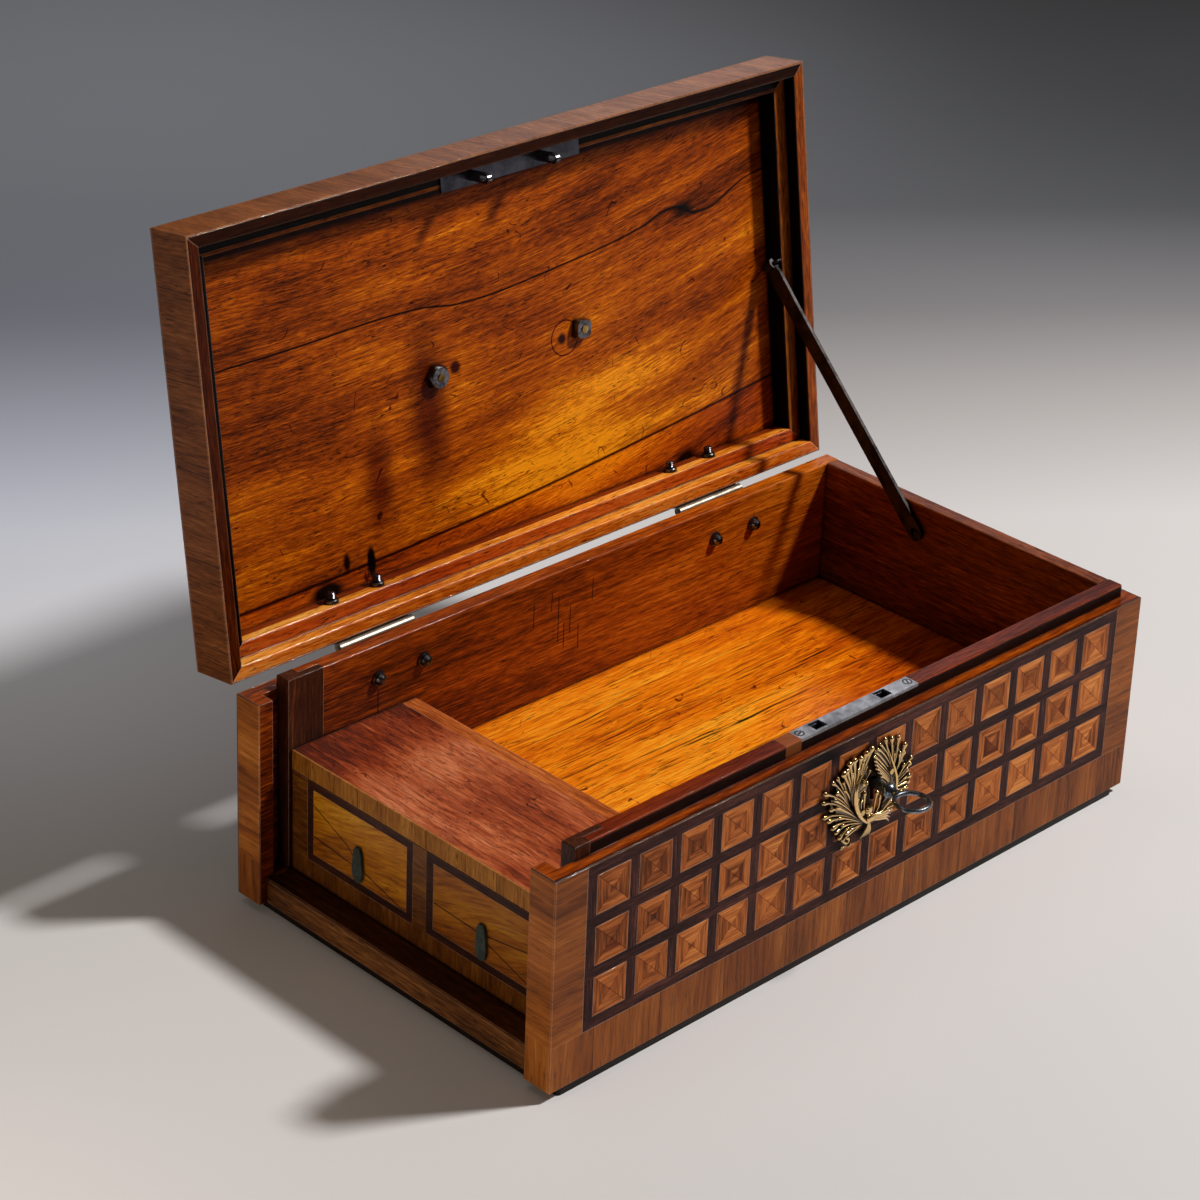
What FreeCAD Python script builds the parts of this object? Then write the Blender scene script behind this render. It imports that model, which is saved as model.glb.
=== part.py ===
# Letter writing box with a hinged lid, two small drawers in its left end, a lock, a stay and a lid handle.
# Millimetres.  X runs along the front, Y from front to back, Z up; the table is at Z = BASE_BOTTOM.  The lid is
# drawn shut and then opened.
import FreeCAD, Part
import math
import os

V = FreeCAD.Vector

# ---- case ----
WIDTH, DEPTH = 400.0, 214.0          # outside of the veneered case
BASE_BOTTOM, BASE_TOP = -4.0, 0.5    # thick dark base board the case stands on
BASE_INSET_X, BASE_INSET_Y = 6.0, 0.9
SHOULDER = 107.0                     # top of the outer case, where the lid rim comes down
LIP_RISE = 6.7                       # the inner lip stands this far above the shoulder
LIP_IN = 7.3                         # the lip starts this far in from the outside
WALL_T = 15.9                        # whole wall thickness, veneer and lip included
VENEER = 0.8
GROOVE_X0, GROOVE_X1 = 8.4, 17.6     # upright grooves of the left end, for its loose sliding panel
GROOVE_D = 7.8                       # depth of those grooves into the front and back walls
BLOCK_X1 = 38.4                      # dark guide blocks behind the grooves end here
BLOCK_HEAD_X1, BLOCK_TONGUE = 26.3, 4.0   # L-shaped in plan: a wide head by the groove and a thin tongue
SILL_X0, SILL_TOP = 4.4, 13.2        # bottom rail of the open left end
FLOOR_TOP, FLOOR_T = 46.0, 6.0       # raised floor of the main compartment
LEDGE_TOP, LEDGE_T = 77.0, 10.0      # board over the two drawers
PARTITION_X0, PARTITION_X1 = 87.0, 95.4

# ---- drawers ----
DRAWER_FACE_X = 19.5                 # plane of the two drawer fronts
DRAWER_REAR_X = 86.2
DRAWER_Z0, DRAWER_Z1 = 13.6, 66.6
SEAM_Y = 103.0                       # joint between the two drawers
DRAWER_GAP = 0.4
DIVIDER_T = 2.4                      # thin upright board behind that joint
FRONT_T, SIDE_T, BOTTOM_T = 8.0, 4.5, 3.5
STRING_W = 4.3                       # dark inlaid line
TAB_W, TAB_L, TAB_T = 7.0, 18.3, 1.6

# ---- lid ----
LID_T, RIM_GAP = 26.0, 0.25
RIM_W, RIM_DEPTH = 7.0, 8.0          # rim that stands on the shoulder, and its rebate for the lip
EASED = 0.8                          # rounding of the worn arrises of rails and lip
LEDGE_W, PANEL_Z = 7.5, 19.5         # second step inside the rim, and the panel behind it
LID_OPEN = 98.0                      # opening angle held by the stay

# ---- parquetry: squares in a dark lattice ----
SQUARE = 19.7
SIDE_BAND, BOTTOM_BAND, LID_BAND = 18.75, 23.0, 18.0

# ---- hinges ----
HINGE_X, HINGE_L, HINGE_LEAF_H, LEAF_T = (86.0, 314.0), 46.0, 20.0, 1.6
PIVOT_OUT, KNUCKLE_R, HINGE_PIN_R = 2.9, 2.5, 1.1
BOLT_DX, BOLT_R, CASE_BOLT_Z, LID_BOLT_Z = 14.2, 1.5, 96.0, 13.2

# ---- lock and key ----
PLATE_X0, PLATE_X1, PLATE_T = 158.5, 238.5, 1.5
LOCK_X0, LOCK_X1, LOCK_Z0 = 166.0, 232.0, 62.0
LOCK_Y0, LOCK_Y1 = 8.1, 16.2
LOCK_IN_Y0, LOCK_IN_Y1 = 8.8, 14.4   # hollow of the lock case, just wider than the lid staples
STAPLE_X, STAPLE_Y = (173.5, 218.0), 11.6
KEY_X, KEY_Z = 202.0, 78.0
BOLT_Y0, BOLT_Y1 = 10.7, 12.7

# ---- stay ----
STAY_X, STAY_T, STAY_W, STAY_END_W = 382.3, 1.8, 8.6, 9.4
STAY_Y, STAY_Z = 108.5, 13.5         # its pin in the lid, measured in the shut lid
PEG_Y, PEG_Z = 133.0, 98.4           # its peg in the right wall
STAY_HOLE_R, PEG_R, STAY_PIN_R = 2.5, 1.3, 1.0
STAY_EYE_R, STAY_EYE_L, STAPLE_HALF = 2.8, 6.6, 5.3

# ---- lid handle ----
POST_X, POST_Y = (152.0, 248.0), 109.2
POST_PIVOT_Z, BAIL_R, BAIL_PIN_R, BAIL_DROP = 31.5, 2.1, 1.5, 33.0

PIVOT = V(0, DEPTH + PIVOT_OUT, SHOULDER)
INNER_Y0, INNER_Y1 = WALL_T, DEPTH - WALL_T
INNER_X1 = WIDTH - WALL_T
SHIFT = V(-WIDTH / 2, -DEPTH / 2, -BASE_BOTTOM)


def box(x0, x1, y0, y1, z0, z1):
    return Part.makeBox(x1 - x0, y1 - y0, z1 - z0, V(x0, y0, z0))


def rod(start, direction, radius, length):
    return Part.makeCylinder(radius, length, V(*start), V(*direction))


def prism(points, push):
    """Solid from a flat closed outline pushed along a vector."""
    corners = [V(*p) for p in points]
    return Part.Face(Part.makePolygon(corners + corners[:1])).extrude(V(*push))


def lathe(profile, origin, axis, across):
    """Solid of revolution from (radius, distance along the axis) points."""
    o, a, r = V(*origin), V(*axis), V(*across)
    corners = [o + r * p[0] + a * p[1] for p in profile]
    face = Part.Face(Part.makePolygon(corners + corners[:1]))
    return face.revolve(o, a, 360)


def round_bar(points, bend, radius):
    """Round bar bent along straight runs with a tangent arc at every corner."""
    corners = [V(*p) for p in points]
    edges, last = [], corners[0]
    for before, here, after in zip(corners, corners[1:], corners[2:]):
        d0, d1 = (here - before).normalize(), (after - here).normalize()
        half = d0.getAngle(d1) / 2
        a, b = here - d0 * (bend * math.tan(half)), here + d1 * (bend * math.tan(half))
        inner = here + (d1 - d0).normalize() * (bend / math.cos(half))
        if (a - last).Length > 1e-6:
            edges.append(Part.LineSegment(last, a).toShape())
        edges.append(Part.Arc(a, inner + (here - inner).normalize() * bend, b).toShape())
        last = b
    if (corners[-1] - last).Length > 1e-6:
        edges.append(Part.LineSegment(last, corners[-1]).toShape())
    ring = Part.Wire(Part.Circle(corners[0], corners[1] - corners[0], radius).toShape())
    return Part.Wire(edges).makePipeShell([ring], True, False)


def eased(points, corners, radius):
    """The outline with some of its square corners rounded through three points."""
    out = []
    for k, p in enumerate(points):
        if k not in corners:
            out.append(p)
            continue
        here, before, after = V(*p), V(*points[k - 1]), V(*points[(k + 1) % len(points)])
        a, b = (before - here).normalize() * radius, (after - here).normalize() * radius
        out += [tuple(here + step)[:len(p)] for step in (a, (a + b) * 0.293, b)]
    return out


def opened(shape):
    turned = shape.copy()
    turned.rotate(PIVOT, V(1, 0, 0), -LID_OPEN)
    return turned


def save(name, *shapes):
    shape = shapes[0].copy() if len(shapes) == 1 else Part.makeCompound([s.copy() for s in shapes])
    shape.translate(SHIFT)
    shape.exportStep("parts/%s.step" % name)


def save_lid(name, *shapes):
    save(name, *[opened(s) for s in shapes])


def mirrored_y(shape):
    return shape.mirror(V(0, DEPTH / 2, 0), V(0, 1, 0))


# ---------------------------------------------------------------- case
def base_board():
    x, y = BASE_INSET_X, BASE_INSET_Y
    board = box(x, WIDTH - x, y, DEPTH - y, BASE_BOTTOM, BASE_TOP)
    upright = [e for e in board.Edges if abs(e.tangentAt(e.FirstParameter).z) > 0.9]
    return board.makeFillet(2.0, upright)


def long_wall():
    """Front wall: a stepped profile with the lip, an end groove and a pocket for the guide block."""
    profile = [(VENEER, VENEER, BASE_TOP), (VENEER, WALL_T, BASE_TOP), (VENEER, WALL_T, SHOULDER + LIP_RISE),
               (VENEER, LIP_IN, SHOULDER + LIP_RISE), (VENEER, LIP_IN, SHOULDER), (VENEER, VENEER, SHOULDER)]
    wall = prism(eased(profile, (2, 3), EASED), (WIDTH - 2 * VENEER, 0, 0))
    top = SHOULDER + LIP_RISE + 1
    wall = wall.cut(box(0, GROOVE_X1, LIP_IN, WALL_T + 1, SHOULDER, top))
    wall = wall.cut(box(WIDTH - LIP_IN, WIDTH, LIP_IN, WALL_T + 1, SHOULDER, top))
    wall = wall.cut(box(GROOVE_X0, GROOVE_X1, WALL_T - GROOVE_D, WALL_T + 1, SILL_TOP, top))
    return wall.cut(guide_plan(WALL_T + 1, top))


def guide_plan(y1, z1):
    """Guide block's room: its head by the groove and the tongue along the wall's inner face."""
    head = box(GROOVE_X1, BLOCK_HEAD_X1, LIP_IN, y1, SILL_TOP, z1)
    return head.fuse(box(GROOVE_X1, BLOCK_X1, WALL_T - BLOCK_TONGUE, y1, SILL_TOP, z1)).removeSplitter()


def guide_block():
    block = guide_plan(WALL_T, SHOULDER + LIP_RISE)
    top = [e for e in block.Edges if e.BoundBox.ZMin > SHOULDER + LIP_RISE - 0.1]
    return block.makeFillet(EASED * 0.7, top)


def keyhole(y0, y1, grow=0.0):
    """Round-topped keyhole cutter along Y, wide enough for the shank and the bit."""
    hole = rod((KEY_X, y0, KEY_Z), (0, 1, 0), 3.2 + grow, y1 - y0)
    return hole.fuse(box(KEY_X - 1.7 - grow, KEY_X + 1.7 + grow, y0, y1, KEY_Z - 10 - grow, KEY_Z))


def front_wall():
    wall = long_wall()
    wall = wall.cut(box(LOCK_X0, LOCK_X1, LOCK_Y0, WALL_T + 1, LOCK_Z0, SHOULDER + LIP_RISE + 1))
    plate_z = SHOULDER + LIP_RISE - PLATE_T
    wall = wall.cut(box(PLATE_X0, PLATE_X1, LIP_IN - 1, WALL_T - 0.5, plate_z, plate_z + 5))
    for x in (PLATE_X0 + 3, PLATE_X1 - 3):
        wall = wall.cut(rod((x, STAPLE_Y, plate_z - 8), (0, 0, 1), 1.0, 9))
    return wall.cut(keyhole(-1, LOCK_Y0 + 1))


def bolt_spots():
    return [x + s * BOLT_DX for x in HINGE_X for s in (-1, 1)]


def back_wall():
    wall = mirrored_y(long_wall())
    for x in bolt_spots():
        wall = wall.cut(rod((x, INNER_Y1 - 1, CASE_BOLT_Z), (0, 1, 0), BOLT_R, WALL_T + 2))
    return wall


def right_wall():
    profile = [(WIDTH - VENEER, BASE_TOP), (WIDTH - VENEER, SHOULDER), (WIDTH - LIP_IN, SHOULDER),
               (WIDTH - LIP_IN, SHOULDER + LIP_RISE), (INNER_X1, SHOULDER + LIP_RISE), (INNER_X1, BASE_TOP)]
    wall = prism(eased([(x, INNER_Y0, z) for x, z in profile], (3, 4), EASED), (0, INNER_Y1 - INNER_Y0, 0))
    return wall.cut(stay_peg())


def post_veneers():
    strip = box(0, VENEER, VENEER, WALL_T, BASE_TOP, SHOULDER)
    return [strip, mirrored_y(strip)]


def sill():
    """Bottom rail of the left end with its outer edge eased."""
    e = 0.8
    profile = [(SILL_X0, BASE_TOP), (SILL_X0, SILL_TOP - e), (SILL_X0 + e, SILL_TOP), (20.0, SILL_TOP),
               (20.0, BASE_TOP)]
    return prism([(x, INNER_Y0, z) for x, z in profile], (0, INNER_Y1 - INNER_Y0, 0))


def case():
    save("base_board", base_board())
    save("bottom_board", box(20.0, INNER_X1, INNER_Y0, INNER_Y1, BASE_TOP, SILL_TOP - 0.4))
    save("front_wall", front_wall())
    save("back_wall", back_wall())
    save("right_wall", right_wall())
    save("guide_blocks", guide_block(), mirrored_y(guide_block()))
    save("sill", sill())
    save("post_veneers", *post_veneers())
    save("floor_board", box(PARTITION_X1, INNER_X1, INNER_Y0, INNER_Y1, FLOOR_TOP - FLOOR_T, FLOOR_TOP))
    bearer = box(PARTITION_X1, INNER_X1, INNER_Y0, INNER_Y0 + 9, SILL_TOP - 0.4, FLOOR_TOP - FLOOR_T)
    save("floor_bearers", bearer, mirrored_y(bearer))
    save("partition", box(PARTITION_X0, PARTITION_X1, INNER_Y0, INNER_Y1, SILL_TOP - 0.4, LEDGE_TOP))
    z0 = LEDGE_TOP - LEDGE_T
    save("compartment_top", box(DRAWER_FACE_X + VENEER, PARTITION_X0, INNER_Y0, INNER_Y1, z0, LEDGE_TOP))
    save("compartment_edge", box(DRAWER_FACE_X, DRAWER_FACE_X + VENEER, INNER_Y0, INNER_Y1, z0, LEDGE_TOP))
    save("drawer_divider", box(30.0, PARTITION_X0, SEAM_Y - DIVIDER_T / 2, SEAM_Y + DIVIDER_T / 2, SILL_TOP - 0.4, z0))
    save("stay_peg", stay_peg())


# ---------------------------------------------------------------- parquetry
def tile_grid(u0, u1, v0, v1):
    """Squares laid in a field; rows and columns follow from the field and the square."""
    cols, rows = int((u1 - u0) // (SQUARE + 5)), int((v1 - v0) // (SQUARE + 5))
    su = (u1 - u0 - cols * SQUARE) / (cols + 1)
    sv = (v1 - v0 - rows * SQUARE) / (rows + 1)
    tiles = []
    for i in range(cols):
        for k in range(rows):
            u, v = u0 + su + i * (SQUARE + su), v0 + sv + k * (SQUARE + sv)
            tiles.append(box(u, u + SQUARE, 0, VENEER, v, v + SQUARE))
    return tiles


def parquet(width, height, left, right, bottom, top):
    """Upright veneer sheet, outer face at y = 0: lattice, squares and plain bands round them."""
    u0, u1, v0, v1 = left, width - right, bottom, height - top
    tiles = tile_grid(u0, u1, v0, v1)
    lattice = box(u0, u1, 0, VENEER, v0, v1).cut(Part.makeCompound(tiles))
    bands = [box(0, u0, 0, VENEER, v0, height), box(u1, width, 0, VENEER, v0, height),
             box(0, width, 0, VENEER, 0, v0)]
    if top:
        bands.append(box(u0, u1, 0, VENEER, v1, height))
    return lattice, tiles, bands


def placed(shapes, axis, angle, move):
    out = []
    for s in shapes:
        t = s.copy()
        t.rotate(V(0, 0, 0), V(*axis), angle)
        t.translate(V(*move))
        out.append(t)
    return out


def veneers():
    height = SHOULDER - BASE_TOP
    front = parquet(WIDTH, height, SIDE_BAND, SIDE_BAND, BOTTOM_BAND, 0)
    right = parquet(DEPTH - 2 * VENEER, height, SIDE_BAND - VENEER, SIDE_BAND - VENEER, BOTTOM_BAND, 0)
    front = [placed(g if isinstance(g, list) else [g], (0, 0, 1), 0, (0, 0, BASE_TOP)) for g in front]
    right = [placed(g if isinstance(g, list) else [g], (0, 0, 1), 90, (WIDTH, VENEER, BASE_TOP)) for g in right]
    hole = keyhole(-1, LOCK_Y0)
    lattice, squares, bands = [a + b for a, b in zip(front, right)]
    save("case_lattice", *[s.cut(hole) for s in lattice])
    save("case_squares", *[s.cut(hole) for s in squares])
    save("case_bands", *bands)
    sheet = box(0, WIDTH, DEPTH - VENEER, DEPTH, BASE_TOP, SHOULDER)
    for x in bolt_spots():
        sheet = sheet.cut(rod((x, DEPTH - 2, CASE_BOLT_Z), (0, 1, 0), BOLT_R, 4))
    save("back_veneer", sheet)
    top = parquet(WIDTH, DEPTH, SIDE_BAND, SIDE_BAND, LID_BAND, LID_BAND)
    top = [placed(g if isinstance(g, list) else [g], (1, 0, 0), -90, (0, 0, SHOULDER + LID_T)) for g in top]
    shanks = [rod((x, POST_Y, SHOULDER), (0, 0, 1), 2.0, 40) for x in POST_X]
    lattice, squares, bands = [[s.cut(Part.makeCompound(shanks)) for s in g] for g in top]
    save_lid("lid_lattice", *lattice)
    save_lid("lid_squares", *squares)
    save_lid("lid_top_bands", *bands)


# ---------------------------------------------------------------- drawers
def drawer(name, y0, y1, band_left, band_right, low, high):
    """One drawer y0..y1 wide: cross-banded margins beside its dark line, and its box set in by low and high."""
    x0, z0, z1 = DRAWER_FACE_X, DRAWER_Z0, DRAWER_Z1
    x1 = x0 + FRONT_T
    outer = (y0 + band_right, y1 - band_left, z0 + 10.0, z1)
    line = box(x0, x0 + VENEER, *outer)
    field = (outer[0] + STRING_W, outer[1] - STRING_W, outer[2] + STRING_W, outer[3] - STRING_W)
    line = line.cut(box(x0 - 1, x1, *field))
    save("drawer_%s_front" % name, box(x0, x1, y0, y1, z0, z1).cut(line))
    save("drawer_%s_string" % name, line)
    a, b = y0 + low, y1 - high
    shell = box(x1, DRAWER_REAR_X, a, b, z0, z1 - 3)
    shell = shell.cut(box(x1 - 1, DRAWER_REAR_X - SIDE_T, a + SIDE_T, b - SIDE_T, z0 - 1, z1))
    save("drawer_%s_box" % name, shell)
    save("drawer_%s_bottom" % name, box(x1, DRAWER_REAR_X - SIDE_T, a + SIDE_T, b - SIDE_T, z0, z0 + BOTTOM_T))
    save("drawer_%s_tab" % name, leather_tab((field[0] + field[1]) / 2, z0 + 33.4))


def leather_tab(y, z_top):
    """Flat leather pull: narrow where it leaves the wood, widest below its middle, blunt at its free end."""
    half = TAB_W / 2
    side = [(0.42, 0.0), (0.72, 0.12), (0.86, 0.35), (1.0, 0.68), (0.92, 0.84), (0.55, 0.96), (0.2, 1.0)]
    outline = [(y + half * w, z_top - TAB_L * d) for w, d in side]
    outline += [(y - half * w, z_top - TAB_L * d) for w, d in reversed(side)]
    return prism([(DRAWER_FACE_X - TAB_T, p, q) for p, q in outline], (TAB_T, 0, 0))


def drawers():
    drawer("back", SEAM_Y + DRAWER_GAP / 2, INNER_Y1 - DRAWER_GAP, 11.2, 9.2, DIVIDER_T / 2 + 0.2, 0.2)
    drawer("front", INNER_Y0 + DRAWER_GAP, SEAM_Y - DRAWER_GAP / 2, 0.0, 11.2, 0.2, DIVIDER_T / 2 + 0.2)


# ---------------------------------------------------------------- lid
def mitred(profile, size):
    """Four mitred lengths of one moulding round a rectangle; profile is (inward, up)."""
    lengths = []
    a, b = size
    for k, run in enumerate((a, b, a, b)):
        start = Part.makePolygon([V(n, n, z) for n, z in profile + profile[:1]])
        end = Part.makePolygon([V(run - n, n, z) for n, z in profile + profile[:1]])
        piece = Part.makeLoft([start, end], True, True)
        piece.rotate(V(0, 0, 0), V(0, 0, 1), 90 * k)
        piece.translate(V(*((0, 0), (a, 0), (a, b), (0, b))[k], 0))
        lengths.append(piece)
    return lengths


def lid():
    v, z = VENEER, SHOULDER
    core = (WIDTH - 2 * v, DEPTH - 2 * v)
    section = [(0, z + RIM_GAP), (RIM_W - v, z + RIM_GAP), (RIM_W - v, z + RIM_DEPTH),
               (RIM_W + LEDGE_W - v, z + RIM_DEPTH), (RIM_W + LEDGE_W - v, z + PANEL_Z), (0, z + PANEL_Z)]
    rails = [r.translated(V(v, v, 0)) for r in mitred(eased(section, (1, 3), EASED), core)]
    skin = [(-v, z + RIM_GAP), (0, z + RIM_GAP), (0, z + LID_T - v), (-v, z + LID_T - v)]
    bands = [r.translated(V(v, v, 0)) for r in mitred(eased(skin, (0,), EASED / 2), core)]
    for x in bolt_spots():
        hole = rod((x, DEPTH - 20, z + LID_BOLT_Z), (0, 1, 0), BOLT_R, 30)
        rails[2], bands[2] = rails[2].cut(hole), bands[2].cut(hole)
    rails[0] = rails[0].cut(strike_plate_blank()).cut(box(*strike_mortise()))
    for screw in strike_screws():
        rails[0] = rails[0].cut(screw)
    rails[1] = rails[1].cut(stay_staple())
    for name, rail in zip(("front", "right", "back", "left"), rails):
        save_lid("lid_rail_%s" % name, rail)
    save_lid("lid_edge_bands", *bands)
    panel = box(v, WIDTH - v, v, DEPTH - v, z + PANEL_Z, z + LID_T - v)
    for x in POST_X:
        panel = panel.cut(rod((x, POST_Y, z), (0, 0, 1), 2.0, 40))
    save_lid("lid_panel", panel)


# ---------------------------------------------------------------- hinges
def leaf(x, up, spans, bore):
    """Flat leaf on the back face, joined to its knuckles by short webs."""
    near, far = KNUCKLE_R + 0.3, HINGE_LEAF_H
    z0, z1 = (SHOULDER + near, SHOULDER + far) if up else (SHOULDER - far, SHOULDER - near)
    body = box(x - HINGE_L / 2, x + HINGE_L / 2, DEPTH, DEPTH + LEAF_T, z0, z1)
    hole_z = SHOULDER + LID_BOLT_Z if up else CASE_BOLT_Z
    for s in (-1, 1):
        body = body.cut(rod((x + s * BOLT_DX, DEPTH - 1, hole_z), (0, 1, 0), BOLT_R, 4))
    low, high = (SHOULDER, z0 + 0.5) if up else (z1 - 0.5, SHOULDER)
    for a, b in spans:
        web = box(x + a, x + b, DEPTH + 0.4, DEPTH + LEAF_T, low, high)
        body = body.fuse(web).fuse(rod((x + a, PIVOT.y, PIVOT.z), (1, 0, 0), KNUCKLE_R, b - a))
    return body.cut(rod((x - 40, PIVOT.y, PIVOT.z), (1, 0, 0), bore, 80)).removeSplitter()


def through_bolt(x, z, y_nut, nut):
    """Hinge bolt: low round head on the leaf, plain shank, and a turned nut with the shank end inside."""
    head = lathe([(0, 1.4), (1.6, 1.2), (2.9, 0.0), (0, 0.0)], (x, DEPTH + LEAF_T, z), (0, 1, 0), (1, 0, 0))
    shank = rod((x, y_nut - 2.0, z), (0, 1, 0), BOLT_R, DEPTH + LEAF_T + 0.5 - y_nut + 2.0)
    return head.fuse(shank).fuse(lathe(nut, (x, y_nut, z), (0, -1, 0), (1, 0, 0))).removeSplitter()


DOMED_NUT = [(0, 0), (3.8, 0), (3.8, 0.7), (3.0, 1.1), (3.0, 2.3), (2.6, 3.3), (1.7, 4.0), (1.2, 4.2), (0, 4.2)]
THREADED_NUT = [(0, 0), (3.5, 0), (3.5, 1.5), (3.0, 2.0), (1.9, 2.2), (2.3, 2.7), (1.9, 3.2), (2.3, 3.7), (1.9, 4.2),
                (2.3, 4.7), (1.9, 5.2), (1.4, 5.5), (0, 5.5)]


def hinges():
    edge, gap = HINGE_L / 2, 0.15
    third = HINGE_L / 6
    case_spans = [(-edge, -third - gap), (third + gap, edge)]
    lid_spans = [(-third, third)]
    save("hinge_leaves_case", *[leaf(x, False, case_spans, HINGE_PIN_R) for x in HINGE_X])
    save("hinge_pins", *[rod((x - edge - 0.4, PIVOT.y, PIVOT.z), (1, 0, 0), HINGE_PIN_R, HINGE_L + 0.8)
                         for x in HINGE_X])
    save_lid("hinge_leaves_lid", *[leaf(x, True, lid_spans, HINGE_PIN_R + 0.06) for x in HINGE_X])
    save("hinge_bolts_case", *[through_bolt(x, CASE_BOLT_Z, INNER_Y1, DOMED_NUT) for x in bolt_spots()])
    y_step = DEPTH - RIM_W - LEDGE_W
    save_lid("hinge_bolts_lid", *[through_bolt(x, SHOULDER + LID_BOLT_Z, y_step, THREADED_NUT) for x in bolt_spots()])


# ---------------------------------------------------------------- lock
def lock_case():
    """Open-topped lock box with the key's back bearing and two slotted guides for the bolt."""
    body = box(LOCK_X0, LOCK_X1, LOCK_Y0, LOCK_Y1, LOCK_Z0, SHOULDER + LIP_RISE - PLATE_T)
    body = body.cut(box(LOCK_X0 + 1, LOCK_X1 - 1, LOCK_IN_Y0, LOCK_IN_Y1, LOCK_Z0 + 1, SHOULDER + 20))
    body = body.cut(keyhole(LOCK_Y0 - 1, LOCK_IN_Y0 + 1))
    body = body.fuse(rod((KEY_X, 13.1, KEY_Z), (0, 1, 0), 2.4, 2.0))
    for x in (178.0, 212.0):
        guide = box(x, x + 10, LOCK_Y0 + 0.2, LOCK_Y1 - 0.2, 89.4, 99.0)
        body = body.fuse(guide.cut(box(x - 1, x + 11, BOLT_Y0 - 0.1, BOLT_Y1 + 0.1, 91.9, 100)))
    return body.removeSplitter()


def lock_plate():
    z1 = SHOULDER + LIP_RISE
    plate = box(PLATE_X0, PLATE_X1, LIP_IN, WALL_T - 0.5, z1 - PLATE_T, z1)
    for x in STAPLE_X:
        plate = plate.cut(box(x - 3.8, x + 3.8, STAPLE_Y - 2.9, STAPLE_Y + 2.9, z1 - 5, z1 + 1))
    for s in plate_screws():
        plate = plate.cut(s)
    return plate


def plate_screws():
    z = SHOULDER + LIP_RISE
    out = []
    for x in (PLATE_X0 + 3, PLATE_X1 - 3):
        profile = [(0, -9), (1.0, -9), (1.0, -1.4), (2.2, -0.1), (0, -0.1)]
        out.append(lathe(profile, (x, STAPLE_Y, z), (0, 0, 1), (1, 0, 0)))
    return out


def slotted(screw, turn, up):
    """The screw with a slot across its head, which faces up or down in the shut box."""
    b = screw.BoundBox
    z = b.ZMax - 0.5 if up else b.ZMin - 0.5
    slot = Part.makeBox(6.0, 0.7, 1.0, V(-3.0, -0.35, 0))
    slot.rotate(V(0, 0, 0), V(0, 0, 1), turn)
    slot.translate(V((b.XMin + b.XMax) / 2, (b.YMin + b.YMax) / 2, z))
    return screw.cut(slot)


def lock_bolt():
    """Flat bolt with two side-pointing fingers that pass through the eyes of the lid staples."""
    z0, z1, z2, z3 = 92.0, 98.0, 101.8, 105.2
    outline = [(176, z0), (199, z0), (199, z0 - 2.5), (201, z0 - 2.5), (201, z0), (205, z0), (205, z0 - 2.5),
               (207, z0 - 2.5), (207, z0), (229.5, z0), (229.5, z3), (221, z3), (221, z2), (227, z2), (227, z1),
               (185, z1), (185, z3), (176.5, z3), (176.5, z2), (182.5, z2), (182.5, z1), (176, z1)]
    return prism([(x, BOLT_Y0, z) for x, z in outline], (0, BOLT_Y1 - BOLT_Y0, 0))


def key():
    """Turned shank and collar, a ring bow lying level, and a flat bit inside the lock."""
    profile = [(0, 12.9), (2.5, 12.9), (2.5, -7.6), (3.1, -7.9), (3.1, -8.7), (3.7, -9.2), (3.7, -10.4),
               (3.0, -10.9), (3.5, -11.6), (2.9, -12.4), (1.9, -13.2), (1.9, -15.6), (0, -15.6)]
    shank = lathe(profile, (KEY_X, 0, KEY_Z), (0, 1, 0), (1, 0, 0))
    bow = Part.makeTorus(8.1, 1.2, V(KEY_X, -24.0, KEY_Z), V(0, 0, 1))
    bit = box(KEY_X, KEY_X + 9.0, BOLT_Y0, BOLT_Y1, KEY_Z - 0.9, KEY_Z + 0.9)
    ward = box(KEY_X + 5.0, KEY_X + 6.2, BOLT_Y0 - 1, BOLT_Y0 + 0.9, KEY_Z - 3, KEY_Z + 3)
    return shank.fuse(bow).fuse(bit.cut(ward)).removeSplitter()


def strike_plate_blank():
    z = SHOULDER + RIM_DEPTH
    return box(154.5, 244.5, RIM_W + 0.6, RIM_W + LEDGE_W + 2.0, z - 1.0, z + 0.5)


def strike_mortise():
    """Room behind the plate for the riveted staple feet."""
    return (165.0, 228.0, 9.0, 14.5, SHOULDER + RIM_DEPTH, SHOULDER + RIM_DEPTH + 3.0)


def staple(x):
    """Rounded eye plate hanging from the strike plate, its eye open along X."""
    top, z_end, half, n = SHOULDER + RIM_DEPTH + 0.5, SHOULDER - 7.0, 2.4, 8
    arc = [(STAPLE_Y + half * math.cos(a), z_end + half + half * math.sin(a))
           for a in [-math.pi * k / n for k in range(n + 1)]]
    outline = [(STAPLE_Y - half, top), (STAPLE_Y + half, top)] + arc
    blank = prism([(x - 1.3, p, q) for p, q in outline], (2.6, 0, 0))
    foot = box(x - 3.0, x + 3.0, STAPLE_Y - half, STAPLE_Y + half, top, top + 1.5)
    eye = box(x - 3, x + 3, STAPLE_Y - 1.3, STAPLE_Y + 1.3, SHOULDER - 5.75, SHOULDER - 1.25)
    return blank.fuse(foot).cut(eye).removeSplitter()


def strike_screws():
    z = SHOULDER + RIM_DEPTH - 1.0
    out = []
    for x in (158.5, 209.0, 240.5):
        out.append(lathe([(0, 0.1), (2.1, 0.1), (1.0, 1.4), (1.0, 9), (0, 9)], (x, STAPLE_Y, z), (0, 0, 1), (1, 0, 0)))
    return out


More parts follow.
